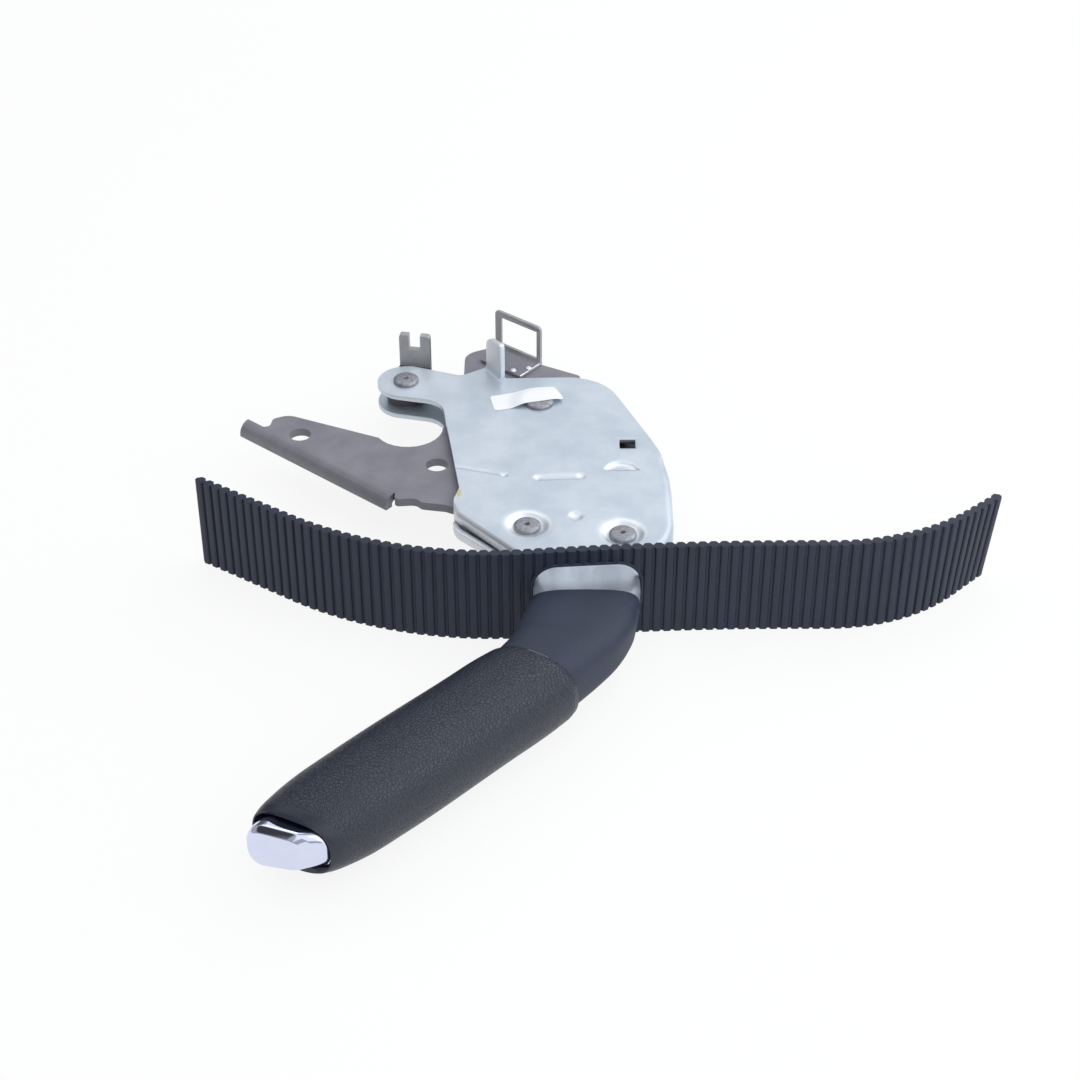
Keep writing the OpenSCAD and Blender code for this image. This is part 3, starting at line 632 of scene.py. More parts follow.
def pressed_shell(front, window):
    """Points and faces of the outer skin of a half shell: its pressed face, the rolled bend along the
    closed part of its edge and the wall below the bend."""
    edge = spaced(rounded(shell_corners(front)), 1.1)
    count = len(edge)
    normals, rolled, inner = [], [], []
    for i, p in enumerate(edge):
        along = (edge[(i + 1) % count] - edge[i - 1]).normalized()
        n = Vector((along.y, -along.x))
        roll = float(smooth_step(-72.5, -78.0, p.y) if p.x < 15 else smooth_step(-39.0, -46.0, p.y))
        normals.append(n)
        rolled.append(roll)
        inner.append(p - n * (cut_inset + (bend_r - cut_inset) * roll))
    rings = [[(p.x, p.y) for p in inner]]
    if window:
        half = window_w / 2
        x, y = window_at
        rings.append([tuple(p) for p in spaced(rounded([
            (x - half, y - half, 0.5), (x - half, y + half, 0.5),
            (x + half, y + half, 0.5), (x + half, y - half, 0.5),
        ]), 1.0)])
    # A coarse lattice over the flat part and a fine one over what is pressed
    coarse = lattice(-70, 56, -136, 34, 1.3)
    fine = lattice(-38, 46, -105, -38, 0.6)
    pressed = sum(pressed_depth(fine[:, 0] + dx, fine[:, 1] + dy) for dx, dy in ((0, 0), (0.9, 0), (0, 0.9)))
    fine = fine[pressed > 0.01]
    away = pressed_depth(coarse[:, 0], coarse[:, 1]) < 0.005
    grid = np.concatenate([coarse[away], fine])
    grid = grid[inside(grid, np.array(rings[0]))]
    for ring in rings:
        grid = grid[clear_of(grid, np.array(ring), 0.55)]
    if window:
        grid = grid[~inside(grid, np.array(rings[1]))]
    flat = [Vector(p) for ring in rings for p in ring] + [Vector((float(x), float(y))) for x, y in grid]
    loops = []
    first = 0
    for ring in rings:
        loops += [(first + i, first + (i + 1) % len(ring)) for i in range(len(ring))]
        first += len(ring)
    made = delaunay_2d_cdt(flat, loops, [], 2, 1e-5)
    spots, faces, sources = made[0], [tuple(f) for f in made[2]], made[3]
    if window:
        middles = np.array([sum((Vector(spots[i]) for i in f), Vector((0, 0))) / len(f) for f in faces])
        faces = [f for f, cut in zip(faces, inside(middles, np.array(rings[1]))) if not cut]
    out_of = {src: i for i, group in enumerate(sources) for src in group}
    xs = np.array([p.x for p in spots])
    ys = np.array([p.y for p in spots])
    zs = shell_top - pressed_depth(xs, ys)
    points = list(zip(xs, ys, zs))
    brink = [out_of[i] for i in range(count)]
    row = brink
    bend_steps, wall_steps = 5, 2
    fall = shell_top - bend_r - seam
    for step in range(1, bend_steps + wall_steps + 1):
        s = min(1.0, step / bend_steps)
        down = max(0, step - bend_steps) / wall_steps
        following = []
        for i in range(count):
            w = rolled[i]
            reach = (cut_inset + (bend_r - cut_inset) * w) * ((1 - w) * s + w * math.sin(s * math.pi / 2))
            drop = w * (bend_r * (1 - math.cos(s * math.pi / 2)) + down * fall)
            p = inner[i] + normals[i] * reach
            following.append(len(points))
            points.append((p.x, p.y, zs[brink[i]] - drop))
        faces += [(row[i], following[i], following[(i + 1) % count], row[(i + 1) % count])
                  for i in range(count)]
        row = following
    return points, faces


def folded_lug():
    """Points and faces of the tab that is folded up from the upper shell's rear edge."""
    a, b = Vector(lug_from), Vector(lug_to)
    run = (b - a).normalized()
    out = Vector((-run.y, run.x))
    width = (b - a).length
    fold = 1.6
    left_r, right_r = 3.4, 1.5
    left_drop = 2.0
    profile = [(-shell_t - fold - 1.2, shell_top - 0.5)]
    for k in range(7):
        t = math.radians(15 * k)
        profile.append((-shell_t - fold + fold * math.sin(t), shell_top + fold * (1 - math.cos(t))))
    profile += [(-shell_t, shell_top + fold + (lug_top - shell_top - fold) * k / 8) for k in range(1, 9)]
    across = 16
    points, faces = [], []
    for u, z in profile:
        for i in range(across + 1):
            v = width * i / across
            cap = lug_top - left_drop * (1 - v / width)
            for r, from_end in ((left_r, v), (right_r, width - v)):
                corner = max(0.0, r - from_end)
                cap -= r - math.sqrt(max(0.0, r ** 2 - corner ** 2))
            p = a + run * v + out * u
            points.append((p.x, p.y, min(z, cap)))
    row = across + 1
    for k in range(len(profile) - 1):
        for i in range(across):
            q = k * row + i
            faces.append((q, q + 1, q + row + 1, q + row))
    return points, faces


def painted_light_and_shade(made):
    """Painted highlights on a finished shell's pressed features, lug and front left wall, and painted shade
    inside it.
    """
    spots = np.empty(len(made.data.vertices) * 3)
    made.data.vertices.foreach_get("co", spots)
    x, y, z = (spots.reshape(-1, 3) / MM - np.array(place(0, 0)) / MM).T
    height = np.abs(z)
    rub_and_painted_highlight = np.zeros_like(x)
    # Painted highlights on the rims of the rivets' dimples, stronger toward the back
    for pin in (pawl_at, arm_at):
        r = distance(x, y, pin)
        behind = 0.55 + 0.45 * (y - pin[1]) / np.maximum(r, 1e-6)
        rub_and_painted_highlight += behind * smooth_step(5.6, 7.4, r) * (1 - smooth_step(7.8, 10.5, r))
    # Painted highlights at the ends of the beads, the post's dimple, the slot and the half moon's round edge
    for spot, size in ((slot_ends[0], 3.0), (slot_ends[1], 3.0), (bead_to, 2.4), (post_at, 4.2)):
        rub_and_painted_highlight += 0.55 * (1 - smooth_step(0.2 * size, size, distance(x, y, spot)))
    rub_and_painted_highlight += 0.25 * bead(x, y, *slot_ends, 0.6, 2.4)
    moon = distance(x, y, moon_at)
    arc = smooth_step(3.0, 6.2, moon) * (1 - smooth_step(6.4, 8.2, moon))
    rub_and_painted_highlight += 0.65 * arc * smooth_step(-51.5, -48.0, y)
    # Painted highlights on the folded lug, and on the wall at the front left
    rub_and_painted_highlight += 0.6 * smooth_step(6.0, 8.0, z)
    front_wall = (x < neck_left) & (y < -74)
    rub_and_painted_highlight += 0.55 * front_wall * smooth_step(5.4, 5.0, height)
    outside = np.where(front_wall, 1.0, smooth_step(3.8, 4.0, height))
    # Painted shade inside the shell, and on the cut edges of the window
    painted_shade_reach = 1 - smooth_step(22.0, 29.0, distance(x, y, (window_at[0], window_at[1] + 2)))
    painted_shade_top = np.where(distance(x, y, window_at) < 8, 4.6, 3.55)
    marks = {
        "burnish": 0.85 * outside * np.clip(rub_and_painted_highlight, 0, 1),
        "grease": 0.95 * painted_shade_reach * (1 - smooth_step(painted_shade_top, painted_shade_top + 0.4, height)),
    }
    for label, values in marks.items():
        made.data.attributes.new(label, "FLOAT", "POINT").data.foreach_set("value", values)
    return made


def half_shell(name, front, upper):
    """One of the two pressed shells, with sheet thickness and rounded edges."""
    points, faces = pressed_shell(front, upper)
    if upper:
        more, more_faces = folded_lug()
        faces += [tuple(len(points) + i for i in f) for f in more_faces]
        points += more
    else:
        points = [(x, y, -z) for x, y, z in points]
        faces = [tuple(reversed(f)) for f in faces]
    made = piece(name + "_sheet", points, faces, zinc, "lever", (name,))
    with opened(made.data) as bm:
        bmesh.ops.remove_doubles(bm, verts=bm.verts, dist=weld)
        bmesh.ops.dissolve_degenerate(bm, edges=bm.edges, dist=weld)
    sheet = made.modifiers.new("sheet thickness", "SOLIDIFY")
    sheet.thickness = shell_t * MM
    sheet.offset = -1.0
    sheet.use_quality_normals = True
    edge_rounded(made, 0.22, 55)
    return painted_light_and_shade(smoothed(baked(made), 38))


half_shell("upper_shell", upper_front, True)
half_shell("lower_shell", lower_front, False)


def softened(name, width, material, body):
    """A copy of a solid whose sharp edges carry the small round that its making leaves."""
    sharp = 20.0
    mesh = frame["nodes"][name].data.copy()
    mesh.name = name + "_softened"
    with opened(mesh) as bm:
        bmesh.ops.remove_doubles(bm, verts=bm.verts, dist=weld)
        bmesh.ops.dissolve_limit(bm, angle_limit=math.radians(0.8), verts=bm.verts, edges=bm.edges)
    mesh.materials.clear()
    mesh.materials.append(material)
    made = edge_rounded(shown(mesh.name, mesh), width, sharp)
    smoothed(baked(made), sharp)
    return settled(made, body, (name,))


softened("base_plate", 0.35, phosphate, "base")
# The yoke and the guide bracket's bars take the lighter copy as painted light
yoke = softened("cable_yoke", 0.4, painted_light_phosphate, "yoke")
# The yoke's inner faces take the darker copy as painted shade
yoke.data.materials.append(painted_shade_phosphate)
for face in yoke.data.polygons:
    if abs(face.center.z) < yoke_inside * MM:
        face.material_index = 1
guide = softened("guide_bracket", 0.4, painted_light_phosphate, "base")
guide.data.materials.append(weld_metal_painted_highlight)
guide.data.materials.append(phosphate)
for face in guide.data.polygons:
    if face.center.z < guide_foot_top * MM:
        face.material_index = 2
    # The weld pips are real weld metal, coloured near white as painted highlights
    for spot in weld_pips:
        away = face.center - place(*spot)
        if away.xy.length < pip_r * MM and face.center.z > pip_bottom * MM:
            face.material_index = 1


def lathe(profile):
    """Points and faces of a profile, radius and height, turned about the vertical axis."""
    steps = 48
    points, faces = [], []
    rows = []
    for r, z in profile:
        if r == 0:
            rows.append([len(points)] * steps)
            points.append((0, 0, z))
        else:
            rows.append(list(range(len(points), len(points) + steps)))
            points += [(r * math.cos(math.tau * i / steps), r * math.sin(math.tau * i / steps), z)
                       for i in range(steps)]
    for low, high in zip(rows, rows[1:]):
        for i in range(steps):
            j = (i + 1) % steps
            face = dict.fromkeys((low[i], low[j], high[j], high[i]))
            faces.append(tuple(face))
    return points, faces


def plain_mesh(name, points, faces=()):
    """An unplaced mesh object, in millimetres turned to metres, for a node tree to use."""
    mesh = bpy.data.meshes.new(name)
    mesh.from_pydata([Vector(p) * MM for p in points], [], faces)
    return shown(name, mesh)


def node_group(name, sockets):
    """A geometry tree with named inputs, and the outputs of its input node."""
    tree = bpy.data.node_groups.new(name, "GeometryNodeTree")
    tree.interface.new_socket(name="Geometry", in_out="INPUT", socket_type="NodeSocketGeometry")
    for label, kind in sockets:
        tree.interface.new_socket(name=label, in_out="INPUT", socket_type=kind)
    tree.interface.new_socket(name="Geometry", in_out="OUTPUT", socket_type="NodeSocketGeometry")
    return tree, node(tree, "NodeGroupInput").outputs


def grown(made, tree, values):
    """The object's mesh after the geometry tree has run on it with these inputs."""
    modifier = made.modifiers.new(tree.name, "NODES")
    modifier.node_group = tree
    for item in tree.interface.items_tree:
        if item.in_out == "INPUT" and item.name in values:
            modifier[item.identifier] = values[item.name]
    return baked(made)


def rivet_tree():
    """Rivet heads with their half shanks, one at each point, turned over below the middle plane."""
    tree, given = node_group("rivets", [
        ("Head", "NodeSocketObject"), ("Finish", "NodeSocketMaterial"),
    ])
    wide, side = (
        node(tree, "GeometryNodeInputNamedAttribute", {"Name": label}, "Attribute", data_type="FLOAT")
        for label in ("girth", "side")
    )
    over = node(tree, "ShaderNodeMath", {0: side, 1: -math.pi / 2, 2: math.pi / 2}, 0,
                operation="MULTIPLY_ADD")
    turn = node(tree, "ShaderNodeCombineXYZ", {"X": over}, "Vector")
    size = node(tree, "ShaderNodeCombineXYZ", {"X": wide, "Y": wide, "Z": 1.0}, "Vector")
    head = node(tree, "GeometryNodeObjectInfo", {"Object": given["Head"]}, "Geometry")
    heads = node(tree, "GeometryNodeInstanceOnPoints", {
        "Points": given["Geometry"], "Instance": head, "Rotation": turn, "Scale": size,
    }, "Instances")
    real = node(tree, "GeometryNodeRealizeInstances", {"Geometry": heads}, "Geometry")
    done = node(tree, "GeometryNodeSetMaterial", {"Geometry": real, "Material": given["Finish"]}, "Geometry")
    node(tree, "NodeGroupOutput", {"Geometry": done})
    return tree


def rivets():
    """The four rivets through the shells: pivot, pawl pin, arm rivet and yoke pin."""
    head = plain_mesh("rivet_head", *lathe([
        (0, -5.4), (3.0, -5.4), (3.0, 0), (5.0, 0), (5.3, 0.2), (5.3, 0.7), (5.15, 1.1), (4.8, 1.42),
        (4.3, 1.62), (3.7, head_h), (1.1, head_h), (0.95, 1.5), (0.8, 0.4), (0, 0.2),
    ]))
    spots = []
    for (x, y), z, girth in (
        (pawl_at, dimple_floor, 1.0), (arm_at, dimple_floor, 1.0), (ear_at, shell_top, 1.0),
        ((0, 0), shell_top, pivot_head_d / pin_head_d),
    ):
        spots += [((x, y, side * z), girth, side) for side in (1.0, -1.0)]
    made = plain_mesh("rivets", [p for p, _, _ in spots])
    for p, v in zip(spots, made.data.vertices):
        v.co = place(*p[0])
    for label, pick in (("girth", 1), ("side", 2)):
        values = made.data.attributes.new(label, "FLOAT", "POINT")
        values.data.foreach_set("value", [s[pick] for s in spots])
    grown(made, rivet_tree(), {"Head": head, "Finish": rivet_steel})
    bpy.data.objects.remove(head)
    smoothed(made, 42)
    return settled(made, "lever", ("pivot_rivet", "pawl_pin", "arm_rivet", "yoke_pin"))


rivets()


def strip_at(s):
    """Place and heading on the strip's middle line, after a length from its left end."""
    x, y = strip_start
    h = math.radians(strip_heading)
    for i, (length, turn) in enumerate(strip_runs):
        d = s if i == len(strip_runs) - 1 else min(s, length)
        a = math.radians(turn) * d / length
        if abs(a) < 1e-6:
            x, y = x + d * math.cos(h), y + d * math.sin(h)
        else:
            x += d / a * (math.sin(h + a) - math.sin(h))
            y += d / a * (math.cos(h) - math.cos(h + a))
        h += a
        s -= d
        if s <= 0:
            break
    return x, y, h


def slat_section(tree, width_front, width_back, depth, middle, radius, height):
    """A solid slat: a trapezoid across the strip with rounded corners, pushed up to its height."""
    shape = node(tree, "GeometryNodeCurvePrimitiveQuadrilateral", {
        "Height": depth, "Bottom Width": width_front, "Top Width": width_back, "Offset": 0.0,
    }, "Curve", mode="TRAPEZOID")
    soft = node(tree, "GeometryNodeFilletCurve", {
        "Curve": shape, "Radius": radius, "Count": 2, "Limit Radius": True,
    }, "Curve", mode="POLY")
    shift = node(tree, "ShaderNodeCombineXYZ", {"Y": middle}, "Vector")
    moved = node(tree, "GeometryNodeTransform", {"Geometry": soft, "Translation": shift}, "Geometry")
    under = node(tree, "GeometryNodeFillCurve", {"Curve": moved}, "Mesh", mode="NGONS")
    risen = node(tree, "GeometryNodeExtrudeMesh", {
        "Mesh": under, "Offset": (0.0, 0.0, 1.0), "Offset Scale": height, "Individual": False,
    }, "Mesh", mode="FACES")
    under = node(tree, "GeometryNodeFlipFaces", {"Mesh": under}, "Mesh")
    joined = node(tree, "GeometryNodeJoinGeometry")
    for part in (risen, under):
        tree.links.new(part, joined.inputs["Geometry"])
    return node(tree, "GeometryNodeMergeByDistance", {
        "Geometry": joined.outputs["Geometry"], "Distance": weld,
    }, "Geometry")


def strip_tree():
    """Slats along the strip, each with a flat land in front, a web and a ridge behind, less the hole
    that the neck passes through."""
    sizes = ["Pitch", "Height"] + [
        part + what for part in ("Land", "Web", "Ridge") for what in ("", " depth", " middle")
    ]
    tree, given = node_group("strip slats", [(label, "NodeSocketFloat") for label in sizes] + [
        ("Hole", "NodeSocketObject"), ("Finish", "NodeSocketMaterial"),
    ])
    joined = node(tree, "GeometryNodeJoinGeometry")
    for part, width_front, width_back, radius in (
        ("Land", "Land", "Pitch", 0.3), ("Web", "Web", "Web", 0.02), ("Ridge", "Pitch", "Ridge", 0.2),
    ):
        slat = slat_section(tree, given[width_front], given[width_back], given[part + " depth"],
                            given[part + " middle"], radius * MM, given["Height"])
        tree.links.new(slat, joined.inputs["Geometry"])
    lean, heading = (
        node(tree, "GeometryNodeInputNamedAttribute", {"Name": label}, "Attribute", data_type="FLOAT")
        for label in ("lean", "heading")
    )
    turn = node(tree, "ShaderNodeCombineXYZ", {"X": lean, "Z": heading}, "Vector")
    slats = node(tree, "GeometryNodeInstanceOnPoints", {
        "Points": given["Geometry"], "Instance": joined.outputs["Geometry"], "Rotation": turn,
    }, "Instances")
    real = node(tree, "GeometryNodeRealizeInstances", {"Geometry": slats}, "Geometry")
    hole = node(tree, "GeometryNodeObjectInfo", {"Object": given["Hole"]}, "Geometry")
    cut = node(tree, "GeometryNodeMeshBoolean", {
        "Mesh 1": real, "Mesh 2": hole, "Self Intersection": True,
    }, "Mesh", operation="DIFFERENCE", solver="EXACT")
    done = node(tree, "GeometryNodeSetMaterial", {"Geometry": cut, "Material": given["Finish"]}, "Geometry")
    node(tree, "NodeGroupOutput", {"Geometry": done})
    return tree


def hole_ring():
    """The outline of the hole for the neck, across the strip and up."""
    low, high = strip_drop - hole_h / 2, strip_drop + hole_h / 2
    return rounded([(x, y, hole_corner) for x, y in (
        (hole_left, low), (hole_right, low), (hole_right, high), (hole_left, high),
    )])


def ribbed_strip():
    """The dust strip: a row of slats on a curve, with a rounded hole round the neck."""
    ring = hole_ring()
    count = len(ring)
    before, behind = -129.8, -104.8
    ends = [tuple(range(count)), tuple(range(2 * count - 1, count - 1, -1))]
    sides = [(i, i + count, (i + 1) % count + count, (i + 1) % count) for i in range(count)]
    hole = outward(plain_mesh("strip_hole", [
        (*place(p.x, y, p.y) / MM,) for y in (before, behind) for p in ring
    ], ends + sides))
    spots = [strip_at((i + 0.5) * rib_pitch) for i in range(rib_count)]
    # The free right end leans its top edge toward the front
    leans = [end_lean * float(smooth_step(rib_count - 15, rib_count, i)) for i in range(rib_count)]
    made = plain_mesh("ribbed_strip_slats", [(0, 0, 0)] * rib_count)
    for (x, y, h), lean, v in zip(spots, leans, made.data.vertices):
        back = strip_w / 2 * math.sin(lean)
        v.co = place(x - back * math.sin(h), y + back * math.cos(h), floor_z)
    for label, values in (("heading", [h for _, _, h in spots]), ("lean", leans)):
        made.data.attributes.new(label, "FLOAT", "POINT").data.foreach_set("value", values)
    groove, web, ridge = 0.9, 1.4, 1.3
    front = -strip_t / 2
    sizes = {
        "Pitch": rib_pitch, "Land": 0.5 * rib_pitch, "Land depth": groove, "Land middle": front + groove / 2,
        "Web": 1.06 * rib_pitch, "Web depth": web + 0.1, "Web middle": front + groove + web / 2,
        "Ridge": 0.42 * rib_pitch, "Ridge depth": ridge, "Ridge middle": front + groove + web + ridge / 2,
        "Height": strip_w,
    }
    grown(made, strip_tree(), {
        **{label: size * MM for label, size in sizes.items()}, "Hole": hole, "Finish": strip_rubber,
    })
    bpy.data.objects.remove(hole)
    smoothed(made, 35)
    return settled(made, "lever", ("ribbed_strip",))


def hole_lip():
    """A smooth lip on the front of the strip, along the edge of the hole for the neck."""
    ring = spaced(hole_ring(), 1.2)
    walk = np.array([strip_at(s) for s in np.arange(90, 260, 0.5)])
    lip_r, lip_proud, steps = 0.75, 0.15, 10
    count = len(ring)
    points = []
    for i, p in enumerate(ring):
        along = (ring[(i + 1) % count] - ring[i - 1]).normalized()
        out = Vector((along.y, -along.x))
        y = float(np.interp(p.x, walk[:, 0], walk[:, 1])) - strip_t / 2 + lip_r - lip_proud
        for k in range(steps):
            a = math.tau * k / steps
            q = p + out * lip_r * (math.cos(a) + 0.4)
            points.append((q.x, y + lip_r * math.sin(a), q.y))
    faces = [(i * steps + k, i * steps + (k + 1) % steps,
              (i + 1) % count * steps + (k + 1) % steps, (i + 1) % count * steps + k)
             for i in range(count) for k in range(steps)]
    made = piece("strip_hole_lip", points, faces, strip_rubber, "lever")
    return smoothed(outward(made), 60)


ribbed_strip()
hole_lip()


def skin(rings, closed=False):
    """Points and faces of a skin over a row of rings with equal numbers of points, open or closed at
    both ends."""
    count = len(rings[0])
    points = [p for ring in rings for p in ring]
    faces = []
    for k in range(len(rings) - 1):
        a, b = k * count, (k + 1) * count
        faces += [(a + i, b + i, b + (i + 1) % count, a + (i + 1) % count) for i in range(count)]
    if closed:
        faces += [tuple(range(count)), tuple(range(len(points) - 1, len(points) - count - 1, -1))]
    return points, faces


def squircle(half_w, half_h, power):
    """Side and height round a ring between an oval and a rounded rectangle."""
    count = 96
    ring = []
    for i in range(count):
        a = math.tau * i / count
        c, s = math.cos(a), math.sin(a)
        ring.append((math.copysign(abs(c) ** (2 / power), c) * half_w,
                     math.copysign(abs(s) ** (2 / power), s) * half_h))
    return ring


def eased(stations, at):
    """Values of rows of numbers between stations, on a smooth curve through them."""
    stations = np.array(stations, float)
    x = stations[:, 0]
    slopes = np.gradient(stations[:, 1:], x, axis=0)
    k = int(np.clip(np.searchsorted(x, at) - 1, 0, len(x) - 2))
    h = x[k + 1] - x[k]
    t = (at - x[k]) / h
    return ((2 * t ** 3 - 3 * t ** 2 + 1) * stations[k, 1:] + (t ** 3 - 2 * t ** 2 + t) * h * slopes[k]
            + (3 * t ** 2 - 2 * t ** 3) * stations[k + 1, 1:] + (t ** 3 - t ** 2) * h * slopes[k + 1])


def below(height):
    """0 above the middle of the button, growing to 1 at its lower edge."""
    return max(0.0, -2 * height / button_h)


def grip_cover():
    """The soft cover: full at the middle, drawn in at the front, with a rounded rear shoulder and a
    rolled rim round the button."""
    girth = [(0, 0.945), (0.02, 0.965), (0.08, 0.99), (0.3, 1.0), (0.72, 1.0), (0.86, 0.965),
             (0.93, 0.905), (0.975, 0.845), (1, 0.785)]
    rings = []

    def ring(along, half_w, half_h, power, room=0.0):
        rear = max(0.0, 1 - along / grip_l / 0.3)
        front = max(0.0, along / grip_l - 0.6) / 0.4
        slope = rear * math.tan(rear_slant) + front * math.tan(front_slant)
        rings.append([
            on_grip(along + rear * rear_shift - w * slope, w, h + room * min(w, 0.0) * below(h))
            for w, h in squircle(half_w, half_h, power)
        ])

    rear_lip = [(2.6, 0.72), (0.25, 0.76), (0.0, 0.86), (0.12, 0.905), (0.5, 0.932)]
    shares = [0.01 + 0.985 * i / 48 for i in range(1, 49)]
    body = [(t * grip_l, float(eased(girth, t)[0])) for t in shares]
    for along, scale in rear_lip + body + [(grip_l, 0.775)]:
        ring(along, grip_w / 2 * scale, grip_h / 2 * scale, 2.4)
    ring(grip_l - 0.05, grip_w / 2 * 0.75, grip_h / 2 * 0.75, 2.5)
    # The mouth leaves room for the deeper left end of the button's face when it is pressed
    for depth, grow in ((0.4, 1.3), (1.2, 0.95), (6.5, 0.9)):
        ring(grip_l - depth, button_w / 2 + grow, button_h / 2 + grow, 3.0, button_taper)
    points, faces = skin(rings)
    made = piece("grip_cover_moulded", points, faces, vinyl, "lever", ("grip_cover",))
    return smoothed(outward(made), 50)


def collar():
    """The smooth rubber collar over the bend between the neck and the grip."""
    rear_left, rear_right = (
        on_grip(rear_shift - side * math.tan(rear_slant) - 0.1, side)[:2] for side in (-16.2, 14.4)
    )
    # A station, its left edge, its right edge and half its thickness
    stations = [
        (0.0, -3.4, -131.6, 37.4, -131.6, 8.4), (1.0, -5.3, -138.5, 36, -139.5, 8.9),
        (2.0, -7.5, -146, 34.3, -148.5, 9.6), (3.0, -9.2, -152.5, 29.6, -159.2, 10.5),
        (4.0, -10.2, -156.8, 22.9, -168.5, 11.4), (5.0, *rear_left, *rear_right, 12),
    ]
    rings = []

    def ring(at, inset=0.0):
        left_x, left_y, right_x, right_y, thick = eased(stations, at)
        left, right = Vector((left_x, left_y)), Vector((right_x, right_y))
        middle, half = (left + right) / 2, (right - left) / 2
        keep = 1 - inset / half.length
        rings.append([(*(middle + half * w), h) for w, h in squircle(keep, thick - inset, 3.4)])

    for at, inset in ((0.6, 1.3), (0.06, 1.2), (0.0, 0.8), (0.02, 0.35), (0.08, 0.1)):
        ring(at, inset)
    for i in range(1, 41):
        ring(0.08 + 4.92 * i / 40)
    points, faces = skin(rings)
    made = piece("collar_moulded", points, faces, collar_rubber, "lever", ("collar",))
    return smoothed(outward(made), 50)


def release_button():
    """The chrome button: an oval with a slanted front face, a bevel above it, a wide one at its right end
    and a narrow one below."""
    corner = 0.38 * button_h
    rings = []

    def ring(along, top, right, bottom, left):
        x0, x1 = -button_w / 2 + left, button_w / 2 - right
        y0, y1 = -button_h / 2 + bottom, button_h / 2 - top
        r = corner - 0.3 * (top + bottom)
        slant = math.tan(button_slant) * float(smooth_step(-12.0, -5.0, along))
        taper = button_taper * float(smooth_step(-9.0, -4.0, along))
        rings.append([
            on_grip(button_front + along - slant * p.x, p.x, p.y + taper * p.x * below(p.y))
            for p in rounded([(x1, y0, r), (x1, y1, r), (x0, y1, r), (x0, y0, r)])
        ])

    # A place along the button, and how far its top, right, bottom and left are drawn in there
    for row in (
        (-24.5, 0.4, 0.4, 0.4, 0.4), (-24.2, 0.05, 0.05, 0.05, 0.05), (-12, 0, 0, 0, 0), (-9, 0, 0, 0, 0),
        (-7, 0, 0, 0, 0.2), (-5, 0, 0.1, 0, 0.6), (-4.2, 0, 0.4, 0, 0.8), (-3, 0, 1.5, 0, 1.1),
        (-2.05, 0, 2.4, 0, 1.4), (-1.9, 0.05, 2.55, 0, 1.45), (-1.7, 0.22, 2.75, 0, 1.5),
        (-0.75, 1.35, 3.75, 0, 1.8), (-0.55, 1.58, 4.0, 0.1, 2.0), (-0.3, 1.88, 4.3, 0.3, 2.25),
        (-0.12, 2.1, 4.55, 0.5, 2.5), (-0.03, 2.3, 4.8, 0.75, 2.75), (0, 2.9, 5.45, 1.4, 3.5),
    ):
        ring(*row)
    points, faces = skin(rings, closed=True)
    made = piece("release_button_chromed", points, faces, chrome, "button", ("release_button",))
    return smoothed(outward(made), 50)


grip_cover()
collar()
release_button()


def sticker():
    """A blank white sticker that lies over the back of the pivot rivet's head."""
    a, b, c, d = (Vector(p) for p in ((-20.5, 4.2), (6.2, 11.6), (10.3, 0.6), (-18.3, -6.8)))
    across, down = 56, 20
    round_u, round_v = 0.09, 0.26
    points, faces = [], []
    for j in range(down + 1):
        for i in range(across + 1):
            u, v = 2 * i / across - 1, 2 * j / down - 1
            # The corners are rounded by drawing their points in toward the corner's centre
            near_u, near_v = (abs(u) - 1 + round_u) / round_u, (abs(v) - 1 + round_v) / round_v
            if near_u > 0 and near_v > 0:
                keep = max(near_u, near_v) / math.hypot(near_u, near_v)
                u = math.copysign(1 - round_u + near_u * keep * round_u, u)
                v = math.copysign(1 - round_v + near_v * keep * round_v, v)
            p = a.lerp(b, (u + 1) / 2).lerp(d.lerp(c, (u + 1) / 2), (v + 1) / 2)
            lift = 1 - smooth_step(pivot_head_d / 2 - 0.2, pivot_head_d / 2 + 7.5, p.length)
            curl = 0.5 * max(0.0, u - 0.8) / 0.2
            rise = float(lift) * (head_h + paper_gap / 2) + curl * curl
            points.append((p.x, p.y, shell_top + paper_gap + rise))
    row = across + 1
    for j in range(down):
        for i in range(across):
            q = j * row + i
            faces.append((q, q + row, q + row + 1, q + 1))
    made = piece("blank_sticker", points, faces, paper, "lever")
    sheet = made.modifiers.new("paper thickness", "SOLIDIFY")
    sheet.thickness = paper_t * MM
    sheet.offset = 1.0
    return smoothed(baked(made), 50)


sticker()

for names, material in (
    (("pivot_bush",), bronze),
    (("pivot_washers", "arm_spacer", "spring_post", "yoke_washers", "push_rod", "rod_clip", "pawl"),
     plain_steel),
    (("pawl_spring", "button_spring"), spring_steel),
    (("grip_core",), core_plastic),
):
    for name in names:
        slots = frame["nodes"][name].data.materials
        slots.clear()
        slots.append(material)


